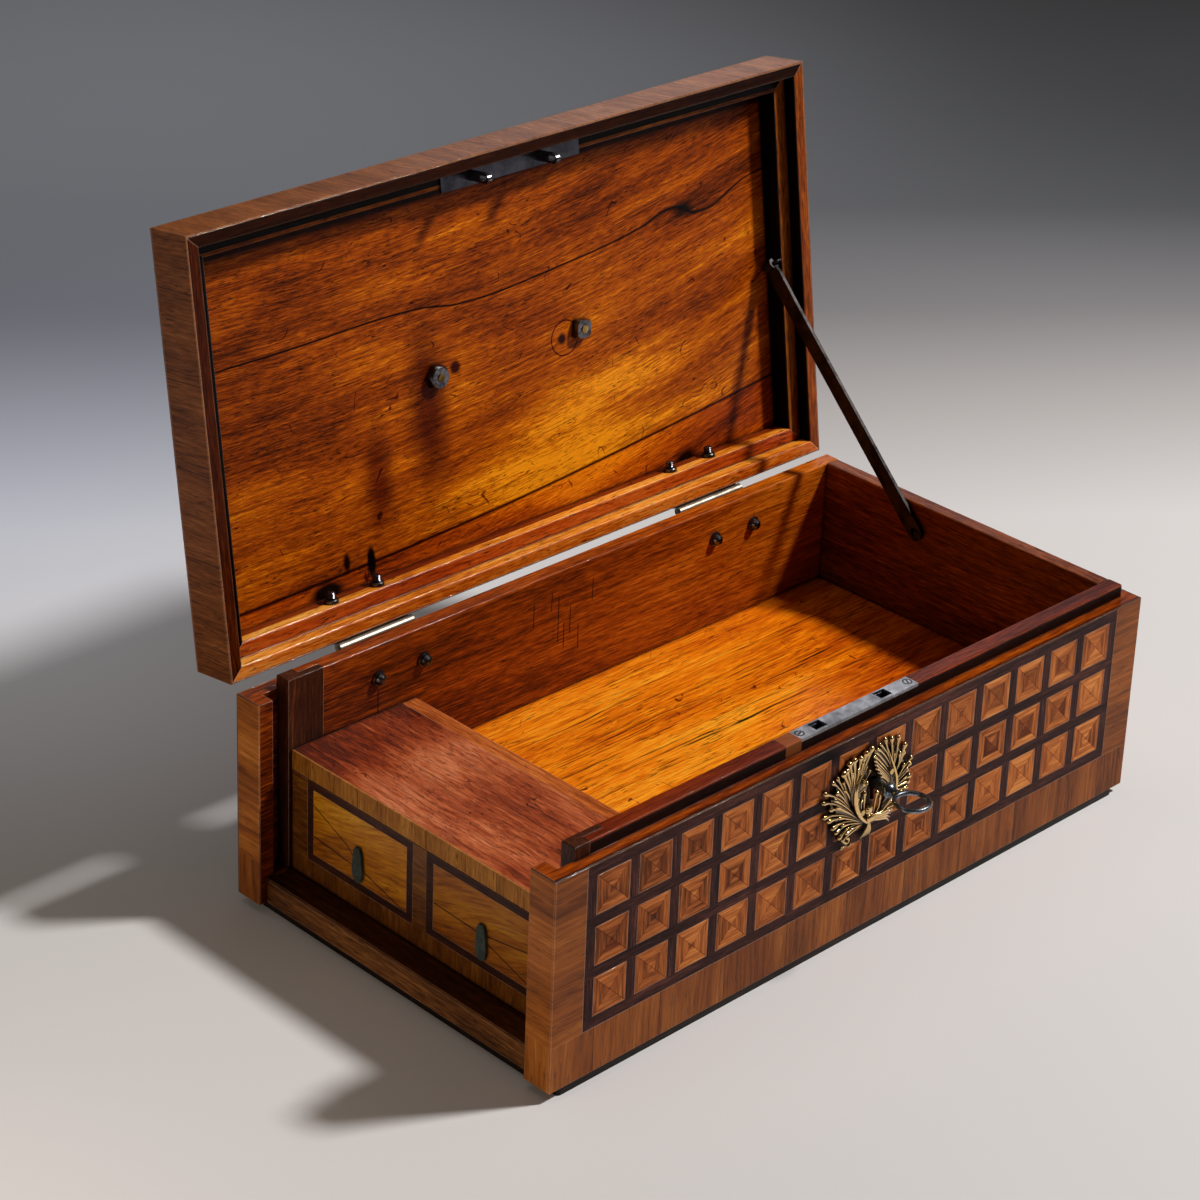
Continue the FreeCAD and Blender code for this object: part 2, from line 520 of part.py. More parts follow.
def lock():
    save("lock_case", lock_case())
    save("lock_plate", lock_plate())
    save("lock_screws", *[slotted(s, turn, True) for s, turn in zip(plate_screws(), (20, 65))])
    save("lock_bolt", lock_bolt())
    save("key", key())
    staples = [staple(x) for x in STAPLE_X]
    screws = strike_screws()
    plate = strike_plate_blank()
    for s in staples + screws:
        plate = plate.cut(s)
    save_lid("strike_plate", plate)
    save_lid("strike_staples", *staples)
    save_lid("strike_screws", *[slotted(s, turn, False) for s, turn in zip(screws, (80, 15, 50))])


# ---------------------------------------------------------------- keyhole mount
def lobe(x0, z0, x1, z1, wide, high):
    """One rounded leaf lobe from its root to its tip, ridged along the middle."""
    dx, dz = x1 - x0, z1 - z0
    length = math.hypot(dx, dz)
    ux, uz = dx / length, dz / length

    def ring(shape, lift, scale):
        pts = [V(x0 + ux * length * s - uz * wide * w * scale, -lift, z0 + uz * length * s + ux * wide * w * scale)
               for s, w in shape]
        return Part.makePolygon(pts + pts[:1])

    foot = ((0, -0.35), (0.62, -0.5), (0.9, -0.42), (1.0, 0), (0.9, 0.42), (0.62, 0.5), (0, 0.35))
    crest = ((0.06, -0.35), (0.62, -0.5), (0.84, -0.42), (0.9, 0), (0.84, 0.42), (0.62, 0.5), (0.06, 0.35))
    return Part.makeLoft([ring(foot, 0.0, 1.0), ring(crest, high, 0.4)], True, True)


def spray(cx, cz, first, last, count, reach_x, reach_z, root):
    """Acanthus spray: lobes fanned from a curved stem, longer and shorter by turns."""
    lobes = []
    for k in range(count):
        a = math.radians(first + (last - first) * k / (count - 1))
        reach = 1.0 if k % 2 == 0 else 0.86
        x1, z1 = cx + reach_x * reach * math.cos(a), cz + reach_z * reach * math.sin(a)
        x0, z0 = cx + root * math.cos(a), cz + root * math.sin(a)
        lobes.append(lobe(x0, z0, x1, z1, 5.6, 2.6 if k % 2 == 0 else 2.0))
    solid = lobes[0].multiFuse(lobes[1:])
    return solid


def escutcheon_pins():
    """Three round-headed pins through the mount."""
    profile = [(0, -3.5), (1.4, -3.1), (1.4, -2.6), (0.7, -2.6), (0.7, 0), (0, 0)]
    return [lathe(profile, (KEY_X + 12 * math.cos(a), 0, 74 + 12 * math.sin(a)), (0, 1, 0), (1, 0, 0))
            for a in [math.radians(d) for d in (140, 35, 222)]]


def escutcheon():
    left = spray(201.0, 74.0, 96, 232, 13, 33.0, 25.5, 9.5)
    right = spray(203.5, 76.0, 84, -34, 11, 26.0, 21.0, 9.5)
    plate = Part.makeCylinder(13.5, 1.2, V(KEY_X, 0, 74.0), V(0, -1, 0))
    leaves = plate.multiFuse([left, right]).cut(keyhole(-6, 1, 0.2))
    leaves = leaves.cut(Part.makeCompound(escutcheon_pins())).removeSplitter()
    tie = [lobe(203, 56, 220, 49, 6.0, 3.0), lobe(203, 56, 183, 48, 5.0, 3.0),
           lobe(203, 57, 199, 46, 4.6, 2.6), lobe(203, 57, 209, 45, 4.6, 2.6),
           lobe(203, 52, 203, 60, 5.0, 3.6)]
    save("escutcheon_leaves", leaves)
    save("escutcheon_bow", tie[0].multiFuse(tie[1:]).cut(leaves).removeSplitter())
    save("escutcheon_pins", *escutcheon_pins())


# ---------------------------------------------------------------- stay
def stay_frame():
    """Pin centre, direction to the wall peg and the pin's own direction, all in the shut lid."""
    pin = V(STAY_X, STAY_Y, SHOULDER + STAY_Z)
    peg = Part.Vertex(STAY_X, PEG_Y, PEG_Z)
    peg.rotate(PIVOT, V(1, 0, 0), LID_OPEN)
    along = peg.Point - pin
    reach = along.Length
    along.normalize()
    return pin, along, V(0, -along.z, along.y), reach


def stay_bar():
    pin, along, across, reach = stay_frame()
    half_end, half_mid, n = STAY_END_W / 2, STAY_W / 2, 8
    side = [(0, STAY_EYE_L / 2), (6, half_end), (24, half_mid), (reach - 22, half_mid), (reach, half_end)]
    tip = [(reach + half_end * math.sin(a), half_end * math.cos(a)) for a in
           [math.pi * k / n for k in range(1, n)]]
    outline = side + tip + [(s, -w) for s, w in reversed(side)]
    corners = [pin + along * s + across * w - V(STAY_T / 2, 0, 0) for s, w in outline]
    bar = Part.Face(Part.makePolygon(corners + corners[:1])).extrude(V(STAY_T, 0, 0))
    eye = Part.makeCylinder(STAY_EYE_R, STAY_EYE_L, pin - across * (STAY_EYE_L / 2), across)
    bar = bar.fuse(eye).cut(Part.makeCylinder(STAY_PIN_R + 0.07, 20, pin - across * 10, across))
    hole = Part.makeCylinder(STAY_HOLE_R, 20, pin + along * reach - V(10, 0, 0), V(1, 0, 0))
    return bar.cut(hole).removeSplitter()


def stay_staple():
    """Iron staple in the right rail: a pin through the bar's eye and two legs driven into the wood."""
    pin, along, across, reach = stay_frame()
    leg = V(9.0, 0, 0)
    a, b = pin - across * STAPLE_HALF, pin + across * STAPLE_HALF
    return round_bar([a + leg, a, b, b + leg], 1.3, STAY_PIN_R)


def stay_peg():
    """Short peg in the right wall; it bears on the tip side of the bar's hole."""
    pin, along, across, reach = stay_frame()
    centre = opened(Part.Vertex(pin + along * (reach + STAY_HOLE_R - PEG_R - 0.15))).Point
    return Part.makeCylinder(PEG_R, 6.0, V(STAY_X - STAY_T / 2 + 0.3, centre.y, centre.z), V(1, 0, 0))


# ---------------------------------------------------------------- lid handle
def handle_post(x):
    z = SHOULDER + LID_T
    ball = SHOULDER + POST_PIVOT_Z
    profile = [(0, SHOULDER + 14.6), (2.0, SHOULDER + 14.6), (2.0, z), (7.5, z), (7.5, z + 0.7), (5.0, z + 1.5),
               (2.6, z + 1.9), (2.4, ball - 3.0), (3.6, ball - 2.0), (4.1, ball), (3.6, ball + 2.0),
               (2.0, ball + 3.7), (0, ball + 4.0)]
    post = lathe(profile, (x, POST_Y, 0), (0, 0, 1), (1, 0, 0))
    return post.cut(rod((x - 6, POST_Y, ball), (1, 0, 0), BAIL_PIN_R + 0.06, 12))


def handle_nut(x, sides, turn):
    """Hand-filed nut on the inside of the lid, its outer corners chamfered; one is six-sided, one square."""
    face, r, high = SHOULDER + PANEL_Z, 6.4, 4.4
    corners = [(x + r * math.cos(turn + 2 * math.pi * k / sides), POST_Y + r * math.sin(turn + 2 * math.pi * k / sides),
                face - high) for k in range(sides)]
    cap = lathe([(0, -0.1), (r, -0.1), (r, high - 1.3), (r - 1.3, high), (0, high)], (x, POST_Y, face),
                (0, 0, -1), (1, 0, 0))
    nut = prism(corners, (0, 0, high)).common(cap)
    return nut.cut(rod((x, POST_Y, face - 8), (0, 0, 1), 2.0, 12))


def handle_bail():
    """Drop handle: pins through the post balls, rounded shoulders and a swelling grip, hanging plumb."""
    z, r, bend = SHOULDER + POST_PIVOT_Z, BAIL_R, 8.0
    tilt = math.radians(LID_OPEN - 90.0)
    drop = V(0, math.cos(tilt), math.sin(tilt)) * BAIL_DROP
    x0, x1 = POST_X[0] + 5.5, POST_X[1] - 5.5
    low_y, low_z = POST_Y + drop.y, z + drop.z
    route = [(x0, POST_Y, z), (x0 + bend, POST_Y, z), (x0 + bend, low_y, low_z),
             (x1 - bend, low_y, low_z), (x1 - bend, POST_Y, z), (x1, POST_Y, z)]
    body = round_bar(route, bend, r)
    for a, b in ((x0 - 10.5, x0 + 0.1), (x1 - 0.1, x1 + 10.5)):
        body = body.fuse(rod((a, POST_Y, z), (1, 0, 0), BAIL_PIN_R, b - a))
    grip = lathe([(0, -26), (r, -26), (3.2, -8), (3.2, 8), (r, 26), (0, 26)],
                 ((x0 + x1) / 2, low_y, low_z), (1, 0, 0), (0, 0, 1))
    return body.fuse(grip).removeSplitter()


def lid_fittings():
    save_lid("handle_posts", *[handle_post(x) for x in POST_X])
    save_lid("handle_nuts", handle_nut(POST_X[0], 6, 0.2), handle_nut(POST_X[1], 4, 0.95))
    save_lid("handle_bail", handle_bail())
    save_lid("stay_staple", stay_staple())
    save_lid("stay_bar", stay_bar())


def main():
    os.makedirs("parts", exist_ok=True)
    case()
    veneers()
    drawers()
    lid()
    hinges()
    lock()
    escutcheon()
    lid_fittings()


main()
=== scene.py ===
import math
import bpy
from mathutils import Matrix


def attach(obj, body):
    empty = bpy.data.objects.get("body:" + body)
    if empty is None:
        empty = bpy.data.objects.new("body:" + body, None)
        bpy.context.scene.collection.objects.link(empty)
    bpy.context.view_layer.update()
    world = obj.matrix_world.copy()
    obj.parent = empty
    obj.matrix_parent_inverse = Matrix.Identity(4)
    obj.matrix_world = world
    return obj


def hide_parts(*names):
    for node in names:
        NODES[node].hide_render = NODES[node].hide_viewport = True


bl_info = {
    "name": "Letter writing box",
    "version": (1, 0, 0),
    "blender": (4, 5, 0),
    "location": "View3D > Sidebar > Writing Box",
    "description": "Veneers, mounts and studio for an open writing box with two small drawers",
    "category": "Object",
}

import bpy
from bpy.props import FloatProperty, FloatVectorProperty, PointerProperty
from mathutils import Matrix, Vector

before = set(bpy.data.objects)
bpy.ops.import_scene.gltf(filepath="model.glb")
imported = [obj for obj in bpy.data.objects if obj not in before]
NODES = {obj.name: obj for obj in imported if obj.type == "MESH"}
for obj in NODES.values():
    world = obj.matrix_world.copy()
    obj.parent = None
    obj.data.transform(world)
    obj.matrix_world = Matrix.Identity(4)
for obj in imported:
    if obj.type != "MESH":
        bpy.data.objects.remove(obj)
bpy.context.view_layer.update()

# Places on the case in millimetres: along from its left end, back from its front, and up from the edge of
# its veneer, which is BASE_LIFT above the table. Places in the lid are given as if it were shut.
WIDTH, DEPTH, BASE_LIFT = 400.0, 214.0, 4.0
LID_TURN = math.radians(98)         # how far the lid stands open
LID_PIVOT = Vector((0.0, 109.9, 111.0))
MOUTH_NORMAL = Matrix.Rotation(-LID_TURN, 3, "X") @ Vector((0.0, 0.0, -1.0))    # out of the open lid's rim
NEAR_TOP = 106.75                   # just under the level top of the case's walls
LIP_FOOT, LIP_TOP = 107.3, 112.6    # just above the foot of the inner lip, and just under its worn top
LIP_FACE = 9.0                      # just behind the lip's outer face
TOP_EDGE = 2.2                      # width of the dark edge along the front of the walls' top
REPAIR = (148.2, 158.6)             # piece let into the front lip beside the lock
POST_SIDE = 19.5                    # just past the veneered post at the front left corner
LOW_BAND_TOP = 23.5                 # just above the band along the case's foot
DRAWER_BAND_TOP = 23.6              # just above the band along the drawers' foot
DRAWER_FIELDS = ((149.45, 37.05), (65.15, 37.65))   # middle and half width of each drawer's golden field
DRAWERS_PART = 103.0                # between the two drawers
RECESS = 109.0                      # the lid's rails are set back from its rim above this height
PANEL_FACE = 126.5                  # the lid panel's inner face
PANEL_SPAN = 200.0                  # curves drawn over the panel run from 0 to this, back from its front
PANEL_EDGE = (120.4, 121.4)         # the lower rail reddens from one height to the other, by the panel
RAIL_SHADOW = (-9.0, 21.5)           # painted shadow of the front rail on the panel, from and to places back
LID_BAND = 18.0                     # width of the banding round the lid's top
CELL = 25.0                         # one square and one strip of the parquetry, as drawn in its own cell
SQUARE_HALF = 9.85                  # half the side of one square
# pitch of the parquetry's squares and the place of the first one's middle, in each direction
ALONG, ALONG_FIRST = 25.48, 34.38
FRONT_UP, FRONT_UP_FIRST = 25.8, 39.45
END_BACK, END_BACK_FIRST = 24.525, 33.425
LID_BACK, LID_BACK_FIRST = 24.7125, 32.86
# lock screws: along, back, up and the turn of the slot in degrees
LOCK_SCREWS = ((161.5, 11.6, 113.6, 20.0), (235.5, 11.6, 113.6, 65.0))
# dark resin lines of the drawer faces, from and to places back and up
DRAWER_LINES = (((186, 56), (158, 44)), ((158, 44), (149, 36)), ((149, 36), (116, 27)),
                ((184, 38), (150, 35)), ((98, 42), (66, 41)), ((66, 41), (30, 47)), ((62, 38), (30, 28)))
# knocks on the inside of the back wall: along, and from and to places up
SCORES = ((172, 88, 101), (184, 93, 103), (189, 74, 100), (193, 70, 84), (197, 76, 92), (203, 66, 80),
          (212, 90, 102), (72, 62, 90))
# two long soft dark smudges, then stains and holes of the lid panel: along and back, radius, soft edge,
# squeeze along and back, tint
STAINS = (((146, 124), 3, 15, (1, 0.3), "#86644e"), ((112, 150), 2, 12, (1, 0.35), "#9a7660"),
          ((326, 65), 1, 5, (0.6, 1), "#3a1a08"), ((103, 190), 1.8, 1.6, (1, 0.32), "#080403"),
          ((75, 197), 3, 4, (0.5, 1), "#140a06"), ((318, 199), 2, 6, (0.6, 1), "#2a1810"),
          ((88, 186), 1, 2, (1, 0.4), "#30180c"), ((165, 108), 2, 2.5, (1, 1), "#5a2c14"),
          ((236, 112), 1.5, 2.5, (1, 1), "#4a2412"))
WASHER = (238, 112, PANEL_FACE)     # middle of the scribed ring on the panel
# palettes, from the darkest grain to the lightest
MAHOGANY = ("#2e0c01", "#6a2502", "#9c4404", "#cc6c14")
RAIL_MAHOGANY = ("#2c1003", "#622c08", "#904a10", "#c07424")


def linear(code):
    """sRGB hex as a linear colour with full alpha."""
    parts = [int(code[i:i + 2], 16) / 255 for i in (1, 3, 5)]
    return [p / 12.92 if p <= 0.04045 else ((p + 0.055) / 1.055) ** 2.4 for p in parts] + [1.0]


def add(tree, kind, *values, **settings):
    """Adds one shader node, whose kind may end in its operation or data type; settings hold the rest.

    Values from nodes, sockets or plain numbers feed its inputs in order, or by name from a dictionary."""
    kind, _, mode = kind.partition(" ")
    node = tree.nodes.new("ShaderNode" + kind)
    if mode:
        setattr(node, "data_type" if kind == "Mix" else "operation", mode)
    for name, value in settings.items():
        if name == "stops":
            stops = node.color_ramp.elements
            for stop, (place, colour) in ((stops[0], value[0]), (stops[1], value[-1])):
                stop.position, stop.color = place, linear(colour)
            for place, colour in value[1:-1]:
                stops.new(place).color = linear(colour)
        elif name == "bends":
            points = node.mapping.curves[0].points
            points[0].location, points[1].location = value[0], value[-1]
            for spot in value[1:-1]:
                points.new(*spot)
            node.mapping.update()
        else:
            setattr(node, name, value)
    sockets = [socket for socket in node.inputs if socket.enabled]
    names = [socket.name for socket in sockets]
    named = values[-1] if values and isinstance(values[-1], dict) else {}
    feeds = [(sockets[names.index(name)], value) for name, value in named.items()]
    for socket, value in list(zip(sockets, values[:-1] if named else values)) + feeds:
        if isinstance(value, bpy.types.Node):
            value = next(s for s in value.outputs if s.enabled)
        if isinstance(value, bpy.types.NodeSocket):
            tree.links.new(value, socket)
        else:
            socket.default_value = value
    return node


def new_material(name, paint, **settings):
    """A new material; paint lays out its nodes in an empty tree."""
    material = bpy.data.materials.new(name)
    material.use_nodes = True
    material.node_tree.nodes.clear()
    paint(material.node_tree, **settings)
    return material


def case_mm(tree):
    """Place on the case in millimetres."""
    spot = add(tree, "TexCoord").outputs["Object"]
    return add(tree, "Mapping", spot, (WIDTH / 2, DEPTH / 2, -BASE_LIFT), {"Scale": (1000,) * 3})


def lid_mm(tree):
    """The same for the lid, as if it were shut."""
    back = Matrix.Rotation(LID_TURN, 3, "X")
    shift = LID_PIVOT - back @ LID_PIVOT + Vector((WIDTH / 2, DEPTH / 2, -BASE_LIFT))
    spot = add(tree, "TexCoord").outputs["Object"]
    return add(tree, "Mapping", spot, shift, (LID_TURN, 0, 0), (1000,) * 3)


# ---------------------------------------------------------------- masks and marks
def mixed(tree, colour, *layers):
    """The colour with tints laid over it, each multiplied in where its mask is 1."""
    for mask, tint in layers:
        colour = add(tree, "Mix RGBA", mask, colour, linear(tint), blend_type="MULTIPLY")
    return colour


def summed(tree, shares, total=0.0):
    """Sum of several masks, each with its weight."""
    for mask, weight in shares:
        total = add(tree, "Math MULTIPLY_ADD", mask, weight, total)
    return total


def distance(tree, value, mark):
    """How far a value lies from a mark, on either side."""
    return add(tree, "Math ABSOLUTE", add(tree, "Math SUBTRACT", value, mark))


def near(tree, place, centre, radius, soft, squeeze=(1.0, 1.0, 1.0)):
    """1 inside a disc round a point, falling to 0 over the soft edge; a squeeze under 1 lengthens it."""
    squeezed = add(tree, "VectorMath MULTIPLY", place, squeeze)
    middle = tuple(c * s for c, s in zip(centre, squeeze))
    gap = add(tree, "VectorMath DISTANCE", squeezed, middle)
    return add(tree, "MapRange", gap, radius + soft, radius, interpolation_type="SMOOTHSTEP")


def ring(tree, place, centre, outer, inner):
    """1 on a ring between two radii in mm, each given with its soft edge."""
    return add(tree, "Math SUBTRACT", near(tree, place, centre, *outer), near(tree, place, centre, *inner))


def between(tree, value, low, high, soft=0.3):
    """1 where a value lies between two limits, falling to 0 over the soft edge on both sides."""
    rise = add(tree, "MapRange", value, low - soft, low + soft)
    drop = add(tree, "MapRange", value, high + soft, high - soft)
    return add(tree, "Math MULTIPLY", rise, drop)


def hairline(tree, across, up, start, end, width):
    """1 on a straight thin line between two points of a face, in mm."""
    run = Vector(end) - Vector(start)
    turn = -math.atan2(run.y, run.x)
    flat = add(tree, "CombineXYZ", across, up)
    begin = Vector(start).to_3d()
    begin.rotate(Matrix.Rotation(turn, 3, "Z"))
    x, y, _ = add(tree, "SeparateXYZ", add(tree, "Mapping", flat, {"Rotation": (0, 0, turn)})).outputs
    line = add(tree, "MapRange", distance(tree, y, begin.y), width, width * 0.3)
    return add(tree, "Math MULTIPLY", line, between(tree, x, begin.x, begin.x + run.length, 0.6))


def scratches(tree, place, size, seed):
    """1 on short curved scratches of handling, up to a given size in mm."""
    spot = add(tree, "Mapping", place, (seed,) * 3, {"Scale": (1 / size,) * 3})
    path = add(tree, "TexNoise", spot, 1.0, 1.0, {"Distortion": 1.2})
    path = add(tree, "MapRange", distance(tree, path, 0.5), 0.011, 0.003)
    part = add(tree, "MapRange", add(tree, "TexNoise", spot, 3.1, 1.0), 0.6, 0.66)
    return add(tree, "Math MULTIPLY", path, part)


def mouthward(tree):
    """How squarely a face looks out of the open lid's mouth."""
    return add(tree, "VectorMath DOT_PRODUCT", add(tree, "TexCoord").outputs["Normal"], MOUTH_NORMAL)


# ---------------------------------------------------------------- woods
def wood(tree, place, along, colours, at=(0.0, 0.3, 0.6, 1.0), figure=(220, 45), streak=3.5, wander=6.0,
         contrast=3.1, flecks=0.75, fleck=(7.0, 0.75), veins=0.5, vein=(60.0, 1.2), mix=(0.42, 0.28, 0.42),
         seed=0.0, lift=0.0):
    """Cut wood with its grain along one axis, in mm: broad figure, streaks, dark veins and short open pores.

    Gives its colour, its tone from 0 to 1, and the pores."""
    def cells(length, width, source, detail, shift):
        scale = [1 / (length if axis == along else width) for axis in "XYZ"]
        spot = add(tree, "Mapping", source, (seed + shift,) * 3, {"Scale": scale})
        return add(tree, "TexNoise", spot, 1.0, detail, 0.6)

    drift = cells(figure[0] * 0.6, figure[1] * 1.4, place, 2.0, 3.1).outputs["Color"]
    bent = add(tree, "VectorMath MULTIPLY_ADD", drift, (wander,) * 3, place)
    layers = (cells(figure[0], figure[1], bent, 3.0, figure[1]),
              cells(streak * 35, streak, bent, 3.0, streak),
              cells(streak * 4.6, streak * 0.4, bent, 3.0, 7.7))
    tone = summed(tree, zip(layers, mix), total=-0.5 * sum(mix))
    tone = add(tree, "Math MULTIPLY_ADD", tone, contrast, 0.5)
    tone = add(tree, "Math ADD", tone, lift, use_clamp=True)
    colour = add(tree, "ValToRGB", tone, stops=list(zip(at, colours))).outputs["Color"]
    for length, width, share, low, high in ((*vein, veins, 0.56, 0.67), (*fleck, flecks, 0.57, 0.67)):
        grouped = add(tree, "MapRange", cells(length * 3, width * 16, bent, 1.0, width * 3), 0.4, 0.6, 0.25)
        pores = add(tree, "MapRange", cells(length, width, bent, 2.0, 11.7 + width), low, high)
        dark = add(tree, "Math MULTIPLY", add(tree, "Math MULTIPLY", pores, grouped), share)
        colour = add(tree, "Mix RGBA", dark, colour, linear("#180702"))
    return colour, tone, pores


def varnish(tree, colour, tone, pores, gloss=0.28, coat=0.1, bump=0.45, specular=0.09, arris=0.45,
            corner_shade_and_grime="#3a2014", arris_wear_and_highlight="#e6b896"):
    """French-polished wood: soft body sheen under a thin clear film, with the pores just telling through.

    Painted shade darkens the inner corners, standing also for grime; the arrises, worn round by their radius
    in mm, catch the light and are painted paler, part wear, part highlight."""
    # painted shade in the inner corners from ambient occlusion, standing also for grime
    open_air = add(tree, "AmbientOcclusion", {"Distance": 0.003}, samples=5).outputs["AO"]
    colour = mixed(tree, colour, (add(tree, "MapRange", open_air, 0.78, 0.42), corner_shade_and_grime))
    soft = add(tree, "Bevel", arris / 1000, samples=4)
    turn = add(tree, "VectorMath DOT_PRODUCT", soft, add(tree, "NewGeometry").outputs["Normal"])
    # the arrises are painted paler, part wear and part painted highlight
    edge = add(tree, "MapRange", turn, 0.985, 0.8, {"To Max": 0.5})
    worn = add(tree, "Math MULTIPLY", edge, add(tree, "MapRange", open_air, 0.7, 0.95))
    colour = add(tree, "Mix RGBA", worn, colour, linear(arris_wear_and_highlight))
    height = add(tree, "Math MULTIPLY_ADD", pores, -0.8, tone)
    normal = add(tree, "Bump", {"Height": height, "Strength": bump, "Distance": 0.00014, "Normal": soft})
    shader = add(tree, "BsdfPrincipled", {
        "Base Color": colour, "Roughness": add(tree, "MapRange", tone, 0.0, 1.0, gloss + 0.12, gloss),
        "Normal": normal, "Specular IOR Level": specular, "IOR": 1.5,
        "Coat Weight": add(tree, "MapRange", worn, 0.0, 0.5, coat, 1.0),
        "Coat Roughness": 0.09, "Coat IOR": 1.5, "Coat Normal": normal})
    add(tree, "OutputMaterial", shader)


def plain_wood(tree, along, colours, **grain):
    """Solid wood, sawn and polished: a satin film over long streaks."""
    varnish(tree, *wood(tree, case_mm(tree), along, colours, **grain))


def rail_wood(tree, along, rim, seed, inner=("Z", 0.0)):
    """Lid rail of mahogany: polished where the eye meets it, painted black as shadow in its stepped recess.

    The ledge is painted black as shadow too, as far as the inner limit on its axis; the rim has its own tint."""
    place = lid_mm(tree)
    colour, tone, pores = wood(tree, place, along, RAIL_MAHOGANY, streak=2.0, flecks=0.9, seed=seed)
    # painted shadow: the recess walls, and the ledge up to the inner limit, are made nearly black
    wall = add(tree, "MapRange", mouthward(tree), 0.8, 0.4)
    axes = add(tree, "SeparateXYZ", place).outputs
    deep = add(tree, "Math GREATER_THAN", axes["Z"], RECESS)
    ledge_in_shadow = add(tree, "Math LESS_THAN", axes[inner[0]], inner[1])
    recess_shadow = add(tree, "Math MAXIMUM", wall, add(tree, "Math MULTIPLY", ledge_in_shadow, deep))
    colour = mixed(tree, colour, (add(tree, "Math SUBTRACT", 1.0, deep), rim), (recess_shadow, "#120806"))
    varnish(tree, colour, tone, pores, coat=0.05, specular=0.05, arris=0.6)


def lower_rail_wood(tree):
    """Back rail of the lid, lowest when open: golden where light falls along it, redder on its ledge; its
    ledge and rim are painted darker as shade.
    """
    place = lid_mm(tree)
    colour, tone, pores = wood(tree, place, "X", ("#6a2a04", "#c4640c", "#f49a2c", "#ffd070"), streak=1.8,
                               flecks=1.0, fleck=(6.0, 0.8), contrast=3.4, seed=43.0)
    # painted shade: the faces looking out of the mouth are darker than the steps between them, which keep the
    # lightest wood as a painted sheen
    flat = add(tree, "MapRange", mouthward(tree), 0.6, 0.9)
    z = add(tree, "SeparateXYZ", place).outputs["Z"]
    deep = add(tree, "Math GREATER_THAN", z, RECESS)
    ledge = add(tree, "Math MULTIPLY", flat, deep)
    rim = add(tree, "Math MULTIPLY", flat, add(tree, "Math SUBTRACT", 1.0, deep))
    by_panel = add(tree, "MapRange", z, *PANEL_EDGE)
    colour = mixed(tree, colour, (ledge, "#c08464"), (rim, "#dcb49a"), (by_panel, "#8c5840"))
    # the arrises are painted near white, part wear and part painted highlight
    varnish(tree, colour, tone, pores, gloss=0.24, coat=0.16, arris=0.9, arris_wear_and_highlight="#ffdcb8")


def lid_panel_wood(tree):
    """Old figured mahogany panel, varnished: golden flames, dark streaks, a split, stains, a board joint."""
    place = lid_mm(tree)
    x, y, _ = add(tree, "SeparateXYZ", place).outputs
    share = add(tree, "Math DIVIDE", x, WIDTH)

    def past(*bends):
        """How far a place lies behind a line drawn over the panel, in mm."""
        line = add(tree, "FloatCurve", {"Value": share}, bends=bends)
        return add(tree, "Math MULTIPLY_ADD", line, -PANEL_SPAN, y)

    def spot(centre, radius, soft, squeeze=(1.0, 1.0)):
        return near(tree, place, (*centre, PANEL_FACE), radius, soft, (*squeeze, 1.0))

    joint = past((0, 0.96), (0.42, 0.94), (0.73, 0.897), (1, 0.845))
    lower = add(tree, "Math GREATER_THAN", joint, 0.0)
    moved = add(tree, "VectorMath MULTIPLY_ADD", (47.0, 131.0, 0.0), lower, place)
    # the figure curves up to the right
    sweep = add(tree, "FloatCurve", {"Value": share}, bends=((0, 0.0), (0.4, 0.02), (0.7, 0.16), (1, 0.42)))
    sweep = add(tree, "CombineXYZ", {"Y": sweep})
    moved = add(tree, "VectorMath MULTIPLY_ADD", sweep, (0.0, 90.0, 0.0), moved)
    light = summed(tree, ((spot((262, 158), 12, 75, (0.75, 1.5)), 0.38),
                          (spot((215, 178), 5, 50, (0.5, 1.6)), 0.2), (spot((40, 60), 20, 90), -0.1),
                          (spot((300, 30), 20, 90, (0.7, 1.4)), -0.14), (spot((205, 100), 12, 40), -0.08)))
    colour, tone, pores = wood(tree, moved, "X", ("#320f00", "#6c2802", "#9c4404", "#c66606", "#f89c14"),
                               at=(0.0, 0.25, 0.5, 0.75, 1.0), figure=(120, 26), streak=1.5, wander=4,
                               flecks=1.0, veins=0.6, fleck=(4.5, 0.6), mix=(0.46, 0.24, 0.38), seed=4.0,
                               lift=light)
    seam = add(tree, "MapRange", add(tree, "Math ABSOLUTE", joint), 1.3, 0.3)
    split = past((0, 0.362), (0.16, 0.365), (0.36, 0.366), (0.43, 0.386), (0.6, 0.371), (0.73, 0.343),
                 (0.8, 0.315), (0.84, 0.345), (0.94, 0.29), (1, 0.28))
    reach = add(tree, "MapRange", spot((330, 66), 12, 30), 0.0, 1.0, 0.75, 1.7)     # wider near one knot
    crack = add(tree, "MapRange", add(tree, "Math ABSOLUTE", split), reach, 0.2)
    scribed = ring(tree, place, WASHER, (9.2, 0.5), (8.4, 0.5))
    marks = add(tree, "Math MAXIMUM", scratches(tree, place, 34.0, 3.0), scribed)
    # the band under the front rail is painted dark as the rail's shadow
    colour = mixed(tree, colour, (add(tree, "Math MULTIPLY", lower, 0.8), "#fcd8cc"), (seam, "#4a2a18"),
                   (crack, "#140602"), (between(tree, y, *RAIL_SHADOW, 1.5), "#3a2418"),
                   *((spot(*stain), tint) for *stain, tint in STAINS), (marks, "#7a4a2c"))
    varnish(tree, colour, tone, add(tree, "Math ADD", pores, crack), bump=0.6, coat=0.06, specular=0.05)


